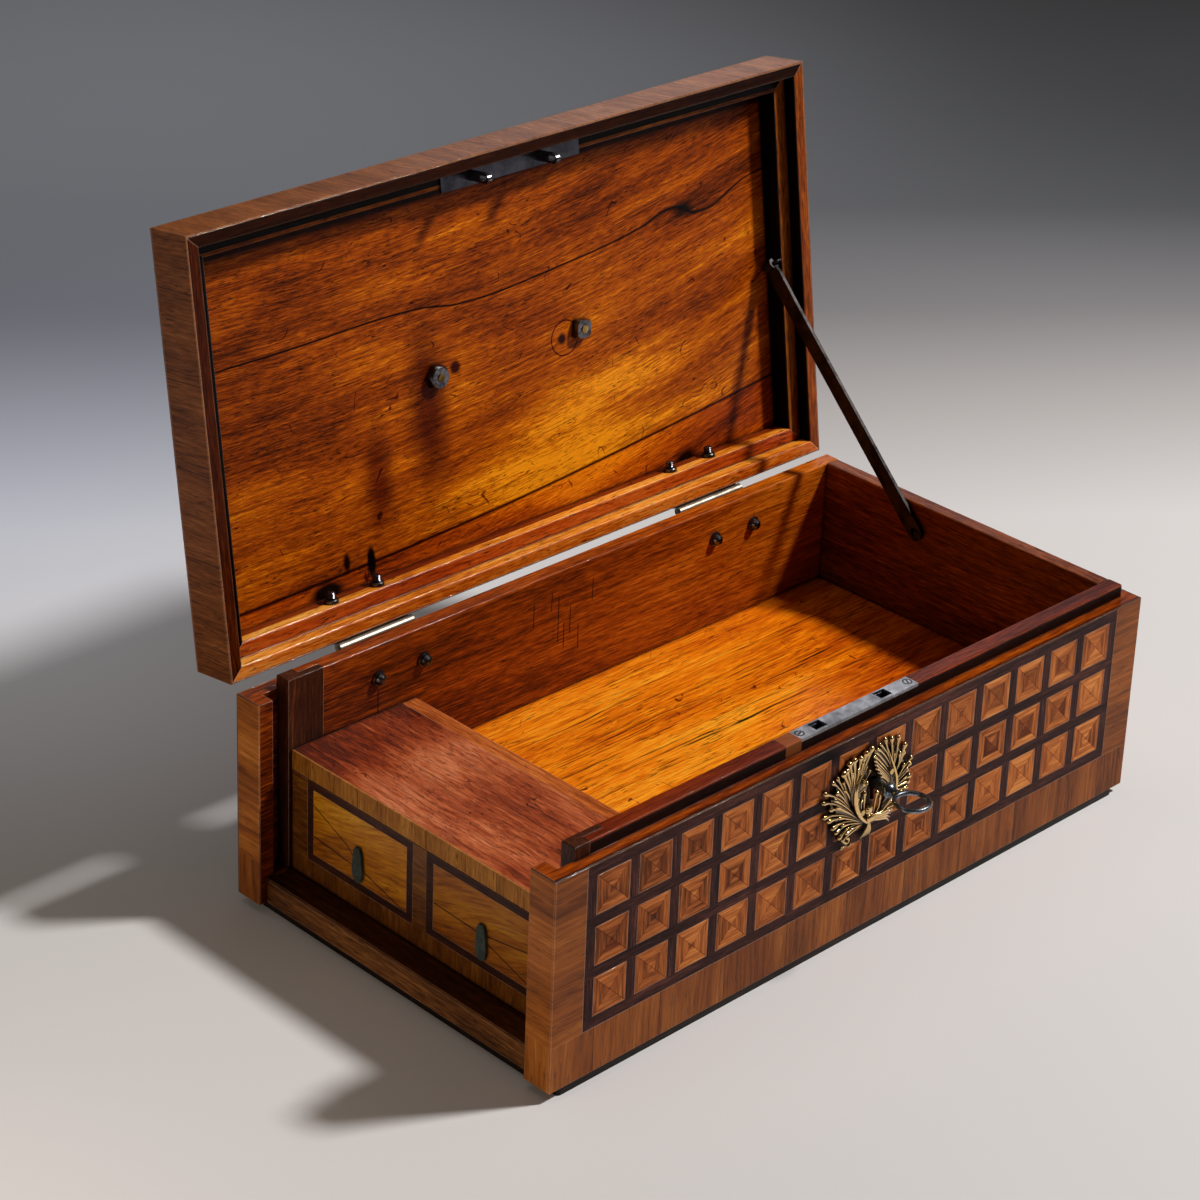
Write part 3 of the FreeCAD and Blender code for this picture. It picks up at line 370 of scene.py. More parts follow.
def front_wall_wood(tree):
    """Front wall, mahogany: its lip is almost black in front, with a worn brown top."""
    place = case_mm(tree)
    x, y, z = add(tree, "SeparateXYZ", place).outputs
    colour, tone, pores = wood(tree, place, "X", MAHOGANY, seed=1.0, streak=2.2)
    lip_face = add(tree, "Math MULTIPLY", between(tree, z, LIP_FOOT, LIP_TOP),
                   add(tree, "Math LESS_THAN", y, LIP_FACE))
    lip = add(tree, "Math GREATER_THAN", z, LIP_FOOT)
    colour = mixed(tree, colour, (lip_face, "#2c1610"), (lip, "#b48a78"),
                   (between(tree, y, 0.0, TOP_EDGE, 0.6), "#6a4030"))
    patch = add(tree, "Math MULTIPLY", between(tree, x, *REPAIR, 0.15), lip)
    colour = add(tree, "Mix RGBA", add(tree, "Math MULTIPLY", patch, 0.45), colour, linear("#a8602e"))
    varnish(tree, colour, tone, pores)


def back_wall_wood(tree):
    """Back wall, mahogany: polished orange-brown, with upright knocks and scores."""
    place = case_mm(tree)
    x, _, z = add(tree, "SeparateXYZ", place).outputs
    light = summed(tree, ((near(tree, place, (40, 205, 80), 60, 90), -0.2),
                          (near(tree, place, (330, 205, 80), 50, 90), 0.16)))
    colour, tone, pores = wood(tree, place, "X", MAHOGANY, seed=31.0, streak=2.2, lift=light)
    for at, low, high in SCORES:
        score = hairline(tree, x, z, (at, low), (at + 0.02 * (low - 76), high), 0.5)
        colour = mixed(tree, colour, (score, "#5a3018"))
    varnish(tree, colour, tone, pores)


def ledge_wood(tree):
    """Padouk board over the drawers: dry reddish-brown face, browner at the back, scored by small things."""
    place = case_mm(tree)
    share = add(tree, "Math DIVIDE", add(tree, "SeparateXYZ", place).outputs["Y"], DEPTH)
    light = add(tree, "FloatCurve", {"Value": share},
                bends=((0, 0.4), (0.3, 0.42), (0.48, 0.52), (0.66, 0.68), (0.76, 0.36), (0.84, 0.06),
                       (1, 0.02)))
    colour, tone, pores = wood(tree, place, "Y", ("#4c1504", "#86320f", "#b25a30", "#da8c60"), seed=12.0,
                               figure=(80, 26), streak=2.2, flecks=0.9, fleck=(5.0, 0.7), contrast=2.6,
                               lift=add(tree, "Math SUBTRACT", light, 0.5))
    marks = add(tree, "Math MAXIMUM", scratches(tree, place, 15.0, 5.0), scratches(tree, place, 9.0, 9.0))
    varnish(tree, mixed(tree, colour, (marks, "#5a2a18")), tone, pores, gloss=0.3, coat=0.12, specular=0.35)


def sill_wood(tree):
    """Walnut sill under the drawers: worn brown on its outer face, nearly black on top with painted shade."""
    colour, tone, pores = wood(tree, case_mm(tree), "Y", ("#301808", "#70421c", "#9c6430", "#c08a4c"),
                               at=(0.0, 0.4, 0.7, 1.0), seed=13.0, streak=2.0)
    # painted shade: the top, facing up, is made darker
    up = add(tree, "SeparateXYZ", add(tree, "TexCoord").outputs["Normal"]).outputs["Z"]
    colour = mixed(tree, colour, (add(tree, "MapRange", up, 0.4, 0.9), "#8c7668"))
    varnish(tree, colour, tone, pores, arris=0.8)


def floor_wood(tree):
    """Padouk floor of the main compartment: bright orange with bold dark veins along it."""
    place = case_mm(tree)
    light = summed(tree, ((near(tree, place, (372, 60, 46), 30, 95), -0.42),
                          (near(tree, place, (190, 150, 46), 40, 110), 0.18)))
    colour, tone, pores = wood(tree, place, "X", ("#802802", "#be5203", "#ec8008", "#ffb02a"), seed=17.0,
                               figure=(150, 30), streak=2.6, flecks=0.85, fleck=(9.0, 0.75), veins=1.0,
                               vein=(75.0, 1.4), contrast=2.6, lift=light)
    colour = mixed(tree, colour, (scratches(tree, place, 26.0, 14.0), "#7a4424"))
    varnish(tree, colour, tone, pores)


def upright_run(tree, side, height):
    """Grain coordinates of veneer that stands upright on one side of a height and lies level elsewhere.

    Gives the run of the grain, the place's axes, the way round the corner (along plus back) and the mask."""
    x, y, z = add(tree, "SeparateXYZ", case_mm(tree)).outputs
    sideways = add(tree, "Math ADD", x, y)
    mask = add(tree, "Math " + side, z, height)
    level, upright = add(tree, "CombineXYZ", sideways, z), add(tree, "CombineXYZ", z, sideways)
    return add(tree, "Mix VECTOR", mask, level, upright), (x, y, z), sideways, mask


def segmented(tree, run, coordinate, length, mask):
    """Cuts a band into short pieces of veneer: shifts the figure of each and marks the joints between them.

    Gives the shifted run, the joints, and a chance value for each piece."""
    count = add(tree, "Math MULTIPLY_ADD", coordinate, 1 / length, 0.37)
    chance = add(tree, "TexWhiteNoise", add(tree, "Math FLOOR", count), noise_dimensions="1D").outputs
    jump = add(tree, "VectorMath MULTIPLY", chance["Color"], (90.0,) * 3)
    moved = add(tree, "VectorMath ADD", run, add(tree, "VectorMath SCALE", jump, mask))
    from_joint = distance(tree, add(tree, "Math FRACT", count), 0.5)
    line = add(tree, "MapRange", from_joint, 0.5 - 0.35 / length, 0.5)
    return moved, add(tree, "Math MULTIPLY", line, mask), chance["Value"]


def crossband_wood(tree):
    """Cross-cut tulipwood banding: warm brown, grain running out to the edge, in short pieces end to end."""
    run, (x, _, z), sideways, low = upright_run(tree, "LESS_THAN", LOW_BAND_TOP)
    moved, line, chance = segmented(tree, run, sideways, 41.0, low)
    colour, tone, pores = wood(tree, moved, "X", ("#5a2c0c", "#8e4e1c", "#b06424", "#c87a32", "#e09446"),
                               at=(0.0, 0.3, 0.55, 0.8, 1.0), figure=(150, 22), streak=2.6, wander=7,
                               contrast=2.9, flecks=0.5, mix=(0.5, 0.34, 0.22), seed=9.0)
    left_end_lit = add(tree, "Math LESS_THAN", x, 0.6)      # painted lighter than the rest, as light falling on the left end
    top = add(tree, "Math GREATER_THAN", z, NEAR_TOP)
    post_top = add(tree, "Math MULTIPLY", top, add(tree, "Math LESS_THAN", x, POST_SIDE))
    shade = add(tree, "Math MULTIPLY", add(tree, "MapRange", chance, 0.0, 1.0, 0.0, 0.35), low)
    colour = mixed(tree, colour, (add(tree, "Math SUBTRACT", 1.0, left_end_lit), "#d0c8c0"), (top, "#84665c"),
                   (post_top, "#8a6e64"), (shade, "#a88a80"), (line, "#553424"))
    varnish(tree, colour, tone, pores, gloss=0.32)


def edge_wood(tree):
    """Thin edging of the same banding, grain upright, on the front of the board over the drawers."""
    run, _, sideways, up = upright_run(tree, "GREATER_THAN", 0.0)
    moved, line, _ = segmented(tree, run, sideways, 47.0, up)
    colour, tone, pores = wood(tree, moved, "X", ("#66350c", "#9c5f1e", "#b87a2c", "#d0923c"),
                               at=(0.0, 0.4, 0.7, 1.0), figure=(90, 14), streak=1.9, wander=4, contrast=2.6,
                               seed=2.0)
    varnish(tree, mixed(tree, colour, (line, "#553424")), tone, pores, gloss=0.35)


def parquetry(tree, lid):
    """Cells of the parquetry, numbered by column in X and row in Z; the right end's rows start at 30.

    Gives them, the place from the middle of its own cell, and its distance from there along each axis."""
    along = 0.5 - ALONG_FIRST / ALONG
    if lid:
        back = 0.5 - LID_BACK_FIRST / LID_BACK
        cells = add(tree, "Mapping", lid_mm(tree), (along, 0.5, back), (math.radians(90), 0, 0),
                    (1 / ALONG, 1 / LID_BACK, 0))
    else:
        place = case_mm(tree)
        back, up = 30.5 - END_BACK_FIRST / END_BACK, 0.5 - FRONT_UP_FIRST / FRONT_UP
        side = add(tree, "Math GREATER_THAN", add(tree, "SeparateXYZ", place).outputs["X"], WIDTH - 1.0)
        front = add(tree, "Mapping", place, (along, 0.5, up), {"Scale": (1 / ALONG, 0, 1 / FRONT_UP)})
        end = add(tree, "Mapping", place, (back, 0.5, up), (0, 0, math.radians(-90)),
                  (0, 1 / END_BACK, 1 / FRONT_UP))
        cells = add(tree, "Mix VECTOR", side, front, end)
    part = add(tree, "VectorMath FRACTION", cells)
    from_centre = add(tree, "VectorMath MULTIPLY_ADD", part, (CELL,) * 3, (-CELL / 2,) * 3)
    return cells, from_centre, add(tree, "SeparateXYZ", add(tree, "VectorMath ABSOLUTE", from_centre)).outputs


def square_wood(tree, lid):
    """Parquetry square, four mitred kingwood quarters: growth lines nested round a small dark heart."""
    cells, from_centre, (size_x, _, size_z) = parquetry(tree, lid)
    cell = add(tree, "VectorMath FLOOR", cells)
    x, _, z = add(tree, "SeparateXYZ", from_centre).outputs
    across = add(tree, "Math MAXIMUM", size_x, size_z)
    sideways = add(tree, "Math GREATER_THAN", size_x, size_z)
    along = add(tree, "Mix", sideways, x, z)
    half = add(tree, "Math GREATER_THAN", add(tree, "Mix", sideways, z, x), 0.0)
    tile = add(tree, "TexWhiteNoise", cell).outputs
    quarter_id = add(tree, "CombineXYZ", sideways, half, 0.31)
    quarter = add(tree, "TexWhiteNoise", add(tree, "VectorMath ADD", cell, quarter_id)).outputs
    # growth lines 1 to 2 mm apart, parallel to the outer edge of each quarter
    jump = add(tree, "VectorMath MULTIPLY", tile["Color"], (60.0,) * 3)
    lines_at = add(tree, "CombineXYZ", across, add(tree, "Math MULTIPLY", along, 0.06))
    lines_at = add(tree, "VectorMath ADD", lines_at, jump)
    lines = add(tree, "TexNoise", lines_at, 0.62, 3.0, 0.6)
    small_jump = add(tree, "VectorMath MULTIPLY", quarter["Color"], (9.0,) * 3)
    fine = add(tree, "TexNoise", add(tree, "VectorMath ADD", lines_at, small_jump), 2.3, 2.0, 0.6)
    column = add(tree, "SeparateXYZ", cell).outputs["X"]
    # painted sheen: the side quarters are a little darker than the upper and lower ones, as light catches
    # their grain differently
    tone = summed(tree, ((lines, 0.7), (fine, 0.3), (quarter["Value"], 0.12), (sideways, -0.07),
                         (column, 0.006)), total=-0.55)
    tone = add(tree, "Math MULTIPLY_ADD", tone, 2.7, 0.44, use_clamp=True)
    colour = add(tree, "ValToRGB", tone, stops=[(0.0, "#5a2e12"), (0.3, "#8c4a20"), (0.55, "#ae612c"),
                                                (0.8, "#c67638"), (1.0, "#dc8e48")]).outputs["Color"]
    # in about a third of the squares the side quarters darken towards the heart
    heart = add(tree, "Math MULTIPLY", add(tree, "MapRange", across, 6.4, 5.2),
                add(tree, "Math GREATER_THAN", tile["Value"], 0.62))
    heart = add(tree, "Math MULTIPLY", heart, quarter["Value"])
    mitre = add(tree, "MapRange", distance(tree, size_x, size_z), 0.4, 0.1)
    marks = add(tree, "Math MAXIMUM", mitre, add(tree, "MapRange", across, 9.3, 9.9))
    colour = mixed(tree, colour, (heart, "#85664f"), (marks, "#c2a184"))
    varnish(tree, colour, tone, marks, gloss=0.33, bump=0.15, coat=0.05, specular=0.05)


def lattice_wood(tree, lid):
    """Dark rosewood strips between the squares, polished: purple-brown, with close grain along each."""
    cells, _, (_, _, size_z) = parquetry(tree, lid)
    strip = add(tree, "Math LESS_THAN", size_z, SQUARE_HALF)
    x, _, z = add(tree, "SeparateXYZ", add(tree, "VectorMath MULTIPLY", cells, (CELL,) * 3)).outputs
    run = add(tree, "Mix VECTOR", strip, add(tree, "CombineXYZ", x, z), add(tree, "CombineXYZ", z, x, 40.0))
    colour, tone, pores = wood(tree, run, "X", ("#140807", "#2a1411", "#40211c", "#66392e"),
                               at=(0.0, 0.35, 0.65, 1.0), figure=(60, 9), streak=1.4, wander=3, contrast=3.2,
                               seed=6.0)
    if not lid:         # old ink stain above the mount
        colour = mixed(tree, colour, (near(tree, case_mm(tree), (166, 0, 102), 3, 5, (0.5, 1, 1)), "#5a4440"))
    varnish(tree, colour, tone, pores, gloss=0.3, coat=0.05, specular=0.05)


def lid_band_wood(tree, top):
    """The lid's outer banding: cross-grained tulipwood, pale along its arrises with wear and painted
    highlight.
    """
    x, y, z = add(tree, "SeparateXYZ", lid_mm(tree)).outputs
    if top:
        ends = add(tree, "Math GREATER_THAN", distance(tree, y, DEPTH / 2), DEPTH / 2 - LID_BAND)
        run = add(tree, "Mix VECTOR", ends, add(tree, "CombineXYZ", x, y), add(tree, "CombineXYZ", y, x))
        cut = x
    else:
        cut = add(tree, "Math ADD", x, y)
        run = add(tree, "CombineXYZ", z, cut)
    moved, line, _ = segmented(tree, run, cut, 43.0, 1.0)
    colour, tone, pores = wood(tree, moved, "X", ("#431d08", "#6e3a16", "#8e5022", "#a66632", "#be8248"),
                               at=(0.0, 0.3, 0.6, 0.85, 1.0), figure=(120, 16), streak=2.2, contrast=2.6,
                               seed=15.0)
    varnish(tree, mixed(tree, colour, (line, "#2c160c")), tone, pores, gloss=0.32, arris=0.6)


def drawer_wood(tree):
    """Drawer faces: golden flame-figured satinwood with dark resin lines, cross-banded round the edge."""
    run, (_, y, z), _, low = upright_run(tree, "LESS_THAN", DRAWER_BAND_TOP)
    fields = [add(tree, "Math LESS_THAN", distance(tree, y, middle), half) for middle, half in DRAWER_FIELDS]
    above = add(tree, "Math SUBTRACT", 1.0, low)
    field = add(tree, "Math MULTIPLY", add(tree, "Math MAXIMUM", *fields), above)
    light = add(tree, "Math MULTIPLY_ADD", add(tree, "MapRange", z, 52.0, 26.0), -0.3, 0.1)
    leaning = add(tree, "Mapping", run, {"Rotation": (0, 0, math.radians(14))})
    golden, tone, pores = wood(tree, leaning, "X", ("#6a3203", "#a45c06", "#cc820e", "#ecb032"),
                               figure=(90, 16), streak=3.2, wander=10, contrast=2.4, flecks=0.2, veins=0.6,
                               vein=(60.0, 0.8), seed=21.0, lift=light)
    for start, end in DRAWER_LINES:
        golden = mixed(tree, golden, (hairline(tree, y, z, start, end, 0.5), "#3a2210"))
    # painted shade: the front drawer's field is made darker than the back one's
    golden = mixed(tree, golden, (add(tree, "Math LESS_THAN", y, DRAWERS_PART), "#d8ccd0"))
    band, _, _ = wood(tree, run, "X", ("#341706", "#6c3c12", "#9c6420"), at=(0.0, 0.5, 1.0), figure=(60, 14),
                      streak=2.0, wander=5, contrast=2.6, seed=31.0)
    varnish(tree, add(tree, "Mix RGBA", field, band, golden), tone, pores, gloss=0.24, coat=0.2)


# ---------------------------------------------------------------- metals and leather
def metal(tree, base, dark, rough, spread=0.15, scale=9.0, bump=0.15, depth=None, screws=(), lacquer=0.0):
    """Old polished metal: clean on the high places, dull and stained between; fine marks from handling.

    A casting brightens from its first depth to its second. Each screw gets a dark ring and slot. Lacquer is
    the weight of a clear film."""
    place = case_mm(tree)
    clouds = add(tree, "TexNoise", place, 1 / scale, 5.0, 0.65)
    fine = add(tree, "TexNoise", place, 1.6, 3.0, 0.7)
    tone = add(tree, "MapRange", add(tree, "Math MULTIPLY_ADD", fine, 0.4, clouds), 0.52, 0.86)
    open_air = add(tree, "AmbientOcclusion", {"Distance": 0.002}, samples=5).outputs["AO"]
    tone = add(tree, "Math MULTIPLY", tone, add(tree, "MapRange", open_air, 0.35, 0.8))
    if depth:
        high = add(tree, "MapRange", add(tree, "SeparateXYZ", place).outputs["Y"], *depth)
        tone = add(tree, "Math MULTIPLY_ADD", tone, 0.3, high, use_clamp=True)
    colour = add(tree, "Mix RGBA", tone, linear(dark), linear(base))
    for *spot, turn in screws:
        middle, turn = Vector(spot[:2]), math.radians(turn)
        way = Vector((math.cos(turn), math.sin(turn))) * 1.9
        x, y, _ = add(tree, "SeparateXYZ", place).outputs
        slot = hairline(tree, x, y, middle - way, middle + way, 0.7)
        mark = add(tree, "Math MAXIMUM", ring(tree, place, spot, (2.3, 0.4), (1.5, 0.5)), slot)
        colour = mixed(tree, colour, (mark, "#1c1c20"))
    shader = add(tree, "BsdfPrincipled", {
        "Base Color": colour, "Metallic": 1.0,
        "Roughness": add(tree, "MapRange", tone, 0.0, 1.0, rough + spread, rough),
        "Normal": add(tree, "Bump", {"Height": fine, "Strength": bump, "Distance": 0.0002}),
        "Coat Weight": lacquer, "Coat Roughness": 0.08})
    add(tree, "OutputMaterial", shader)


def leather(tree):
    """Goatskin pulls, dyed nearly black-green and waxed: a soft sheen over a fine pebbled grain."""
    place = case_mm(tree)
    pebbles = add(tree, "TexVoronoi", place, 1.4)
    clouds = add(tree, "TexNoise", place, 0.25, 4.0)
    colour = add(tree, "ValToRGB", clouds, stops=[(0.3, "#141a15"), (0.5, "#243029"), (0.7, "#3c4a40")])
    normal = add(tree, "Bump", {"Height": pebbles, "Strength": 0.5, "Distance": 0.0002})
    shader = add(tree, "BsdfPrincipled", {"Base Color": colour, "Roughness": 0.48, "Normal": normal,
                                          "Specular IOR Level": 0.4, "Sheen Weight": 0.1})
    add(tree, "OutputMaterial", shader)


def floor_paper(tree, tint):
    """Matt paper: it darkens away behind the box, as under one near lamp, and most at the far right."""
    spot = add(tree, "TexCoord").outputs["Object"]
    away = add(tree, "VectorMath DOT_PRODUCT", spot, (0.62, 0.79, 0.0))
    fall = add(tree, "ValToRGB", add(tree, "Math MULTIPLY", away, 0.5),
               stops=[(0.18, "#ffffff"), (0.26, "#d8d6d6"), (0.34, "#a0a0a4"), (0.44, "#70747a"),
                      (0.62, "#666a70"), (0.8, "#4c4c4e")])
    colour = add(tree, "Mix RGBA", 1.0, tint, fall, blend_type="MULTIPLY")
    # painted shade: the paper darkens in soft patches off to the right and behind at the left, bluer near the
    # box, greyer far behind
    colour = mixed(tree, colour, (near(tree, spot, (1.35, 0.5, 0.0), 0.2, 0.5), "#c0c0c0"),
                   (near(tree, spot, (0.05, 0.7, 0.0), 0.08, 0.4), "#dce6fa"))
    far_left = near(tree, spot, (0.35, 1.35, 0.0), 0.1, 0.9)
    colour = add(tree, "Mix RGBA", far_left, colour, linear("#8c929c"))
    # a soft light of its own on the paper behind the box at the left, seen by the camera alone
    glow = add(tree, "Math MULTIPLY", near(tree, spot, (-0.12, 0.46, 0.0), 0.04, 0.38),
               add(tree, "LightPath").outputs["Is Camera Ray"])
    shader = add(tree, "BsdfPrincipled", {"Base Color": colour, "Roughness": 0.75, "Specular IOR Level": 0.2,
                                          "Emission Color": linear("#eef0f8"),
                                          "Emission Strength": add(tree, "Math MULTIPLY", glow, 0.14)})
    add(tree, "OutputMaterial", shader)


# each material: its name, what lays it out, its settings, and the pieces that it dresses
WOODS = (
    ("front_wall_mahogany_polished", front_wall_wood, {}, "front_wall"),
    ("back_wall_mahogany_polished", back_wall_wood, {}, "back_wall"),
    # warm mid brown with a soft sheen
    ("partition_mahogany_polished", plain_wood,
     dict(along="Y", colours=("#5a220c", "#94461a", "#bc642c", "#dc8846"), seed=11.0, streak=2.2),
     "partition"),
    # the deepest red-brown of the walls: the walls' mahogany painted darker, as shade
    ("end_wall_mahogany_polished", plain_wood,
     dict(along="Y", colours=("#1e0801", "#481603", "#703006", "#a0500e"), seed=5.0, streak=2.2),
     "right_wall"),
    # one mahogany on three rails of the lid, each rim tinted to its own shade
    ("rail_mahogany_upper_polished", rail_wood,
     dict(along="X", rim="#50403a", seed=3.0, inner=("Y", 12.4)), "lid_rail_front"),
    ("rail_mahogany_right_polished", rail_wood, dict(along="Y", rim="#ffe8f0", seed=33.0), "lid_rail_right"),
    ("rail_mahogany_left_polished", rail_wood,
     dict(along="Y", rim="#8a6c60", seed=8.0, inner=("X", 30.0)), "lid_rail_left"),
    ("rail_mahogany_lower_polished", lower_rail_wood, {}, "lid_rail_back"),
    ("drawer_top_padouk_polished", ledge_wood, {}, "compartment_top"),
    ("floor_padouk_polished", floor_wood, {}, "floor_board"),
    ("lid_panel_figured_mahogany_varnished", lid_panel_wood, {}, "lid_panel"),
    ("crossband_tulipwood_polished", crossband_wood, {}, "case_bands", "post_veneers"),
    ("edging_tulipwood_polished", edge_wood, {}, "compartment_edge"),
    ("case_square_kingwood_polished", square_wood, dict(lid=False), "case_squares"),
    ("lid_square_kingwood_polished", square_wood, dict(lid=True), "lid_squares"),
    ("case_lattice_rosewood_polished", lattice_wood, dict(lid=False), "case_lattice"),
    ("lid_lattice_rosewood_polished", lattice_wood, dict(lid=True), "lid_lattice"),
    ("lid_edge_tulipwood_polished", lid_band_wood, dict(top=False), "lid_edge_bands"),
    ("lid_top_tulipwood_polished", lid_band_wood, dict(top=True), "lid_top_bands"),
    ("drawer_satinwood_polished", drawer_wood, {}, "drawer_back_front", "drawer_front_front"),
    # a fine line, nearly black
    ("string_rosewood_polished", plain_wood,
     dict(along="Y", colours=("#1a0b08", "#3a1c14", "#55301f"), at=(0.0, 0.5, 1.0), seed=2.0, streak=1.6),
     "drawer_back_string", "drawer_front_string"),
    ("sill_walnut_waxed", sill_wood, {}, "sill"),
    # stained black, with a low sheen
    ("base_ebonised_pear_waxed", plain_wood,
     dict(along="X", colours=("#0d0806", "#21140f", "#3a261c"), at=(0.0, 0.6, 1.0), seed=19.0, streak=2.2),
     "base_board"),
    ("guide_ebonised_pear_waxed", plain_wood,
     dict(along="Z", colours=("#1c0a05", "#46200f", "#7a4424"), at=(0.0, 0.6, 1.0), seed=23.0, streak=2.2),
     "guide_blocks"),
    # quiet straight grain in middle browns
    ("back_walnut_veneer_polished", plain_wood,
     dict(along="X", colours=("#3c2110", "#64391b", "#7f4c26", "#9a6438"), at=(0.0, 0.35, 0.65, 1.0),
          seed=27.0, figure=(260, 40)), "back_veneer"),
    # pale straw-coloured pine with few pores
    ("deal_planed_bare", plain_wood,
     dict(along="X", colours=("#9a6b3a", "#bd9058", "#cfa66c", "#dbb984"), at=(0.0, 0.4, 0.7, 1.0),
          seed=29.0, flecks=0.15, veins=0.1),
     "bottom_board", "floor_bearers", "drawer_divider", "drawer_back_box", "drawer_front_box",
     "drawer_back_bottom", "drawer_front_bottom"),
)
METALS = (
    # fire-gilt bronze, dull gold with brown hollows
    ("pin_bronze_gilt", metal,
     dict(base="#d8b878", dark="#2a1c0c", rough=0.24, spread=0.25, depth=(-0.4, -2.6)), "escutcheon_pins"),
    ("handle_bronze_gilt", metal, dict(base="#b8935a", dark="#5a4422", rough=0.3, spread=0.2), "handle_bail",
     "handle_posts"),
    # old brass gone grey
    ("hinge_brass_aged", metal, dict(base="#aaa496", dark="#6c665a", rough=0.36, spread=0.1, bump=0.03),
     "hinge_leaves_case", "hinge_leaves_lid", "hinge_pins"),
    # steel: browned bolts, a dull dark plate, a bright lock and a polished key
    ("bolt_steel_browned", metal, dict(base="#747276", dark="#242124", rough=0.19, spread=0.2, scale=4.0),
     "hinge_bolts_case", "hinge_bolts_lid", "handle_nuts", "strike_staples", "strike_screws"),
    ("strike_steel_aged", metal,
     dict(base="#54545c", dark="#323238", rough=0.28, spread=0.1, scale=12.0, bump=0.06), "strike_plate"),
    ("lock_steel_bright", metal, dict(base="#bcc4cc", dark="#788088", rough=0.24, screws=LOCK_SCREWS),
     "lock_plate", "lock_case", "lock_bolt", "lock_screws"),
    ("key_steel_polished", metal,
     dict(base="#9aa2ac", dark="#2c2c30", rough=0.18, spread=0.2, scale=5.0), "key"),
    # wrought iron, oiled and black
    ("stay_iron_blackened", metal, dict(base="#3c3a3a", dark="#100e0d", rough=0.32, spread=0.2), "stay_bar",
     "stay_peg", "stay_staple"),
    ("tab_goatskin_waxed", leather, {}, "drawer_back_tab", "drawer_front_tab"),
)


def dress(table):
    """Makes each material of a table and gives it to its pieces."""
    for name, paint, settings, *pieces in table:
        material = new_material(name, paint, **settings)
        for piece in pieces:
            NODES[piece].data.materials.clear()
            NODES[piece].data.materials.append(material)


# ---------------------------------------------------------------- settings
class BoxColours(bpy.types.PropertyGroup):
    floor: FloatVectorProperty(name="Floor", description="Colour of the studio floor near the box",
                               default=linear("#d6d6d7"), size=4, subtype="COLOR", min=0, max=1)
    world: FloatVectorProperty(name="Surround", description="Colour of the studio's ambient light",
                               default=linear("#c0b2a4"), size=4, subtype="COLOR", min=0, max=1)


class StudioSizes(bpy.types.PropertyGroup):
    floor_radius: FloatProperty(name="Floor radius", description="Radius of the round floor", default=2.6,
                                unit="LENGTH")
    key_distance: FloatProperty(name="Key distance", description="From the box to the main lamp", default=2.6,
                                unit="LENGTH")
    key_size: FloatProperty(name="Key size", description="Width of the main lamp", default=0.32,
                            unit="LENGTH")
    key_power: FloatProperty(name="Key power", description="Power of the main lamp", default=73.0,
                             unit="POWER")
    top_power: FloatProperty(name="Overhead power", description="Power of the soft lamp overhead",
                             default=3.0, unit="POWER")
    fill_power: FloatProperty(name="Fill power", description="Power of the small fill by the drawers",
                              default=0.25, unit="POWER")
    sheen_power: FloatProperty(name="Sheen power", description="Power of the large soft lamp behind",
                               default=4.0, unit="POWER")
    ambient: FloatProperty(name="Ambient", description="Strength of the surround's light", default=0.06,
                           min=0)


class WRITINGBOX_OT_woods(bpy.types.Operator):
    """Dresses every wooden part in its own wood and polish"""
    bl_idname = "writingbox.woods"
    bl_label = "Woods and veneers"

    def execute(self, context):
        dress(WOODS)
        return {"FINISHED"}


class WRITINGBOX_OT_metals(bpy.types.Operator):
    """Dresses the lock, key, hinges, stay, handle and leather pulls"""
    bl_idname = "writingbox.metals"
    bl_label = "Metal and leather"

    def execute(self, context):
        dress(METALS)
        return {"FINISHED"}


# ---------------------------------------------------------------- mount round the keyhole
# Places on the front in millimetres: along from the left end, and up from the veneer's lower edge. Each lobe
# runs from its root past a middle point to its tip.
LEFT_LOBES = (
    ((188.5, 81.8), (193.1, 90.6), (197.6, 99.2)), ((187.8, 82.1), (190.4, 90.6), (193.9, 97.9)),
    ((187.1, 81.8), (189.0, 90.1), (190.0, 96.6)), ((186.8, 81.4), (186.4, 89.5), (185.0, 97.3)),
    ((186.2, 80.6), (184.3, 89.2), (181.9, 96.5)), ((186.0, 79.6), (182.8, 87.2), (180.4, 93.4)),
    ((185.8, 78.1), (182.0, 85.4), (177.9, 92.7)), ((184.3, 76.1), (180.9, 82.7), (178.7, 87.7)),
    ((184.0, 75.1), (177.8, 86.0), (174.3, 91.3)), ((184.6, 72.7), (178.1, 83.8), (171.2, 90.0)),
    ((186.2, 70.0), (179.9, 78.8), (174.4, 83.4)), ((187.1, 68.0), (177.8, 79.7), (166.0, 86.1)),
    ((188.8, 65.2), (176.6, 77.5), (165.1, 81.4)), ((190.3, 63.5), (179.1, 73.3), (170.7, 76.0)),
    ((191.9, 61.9), (177.9, 71.7), (166.2, 73.1)), ((193.0, 60.6), (180.9, 68.6), (169.5, 70.2)),
    ((194.2, 59.6), (182.4, 66.7), (172.7, 64.7)), ((194.6, 59.2), (184.0, 64.4), (175.5, 61.2)),
    ((194.9, 58.7), (185.6, 62.8), (178.0, 57.3)), ((195.0, 58.5), (187.2, 60.5), (180.5, 55.2)))
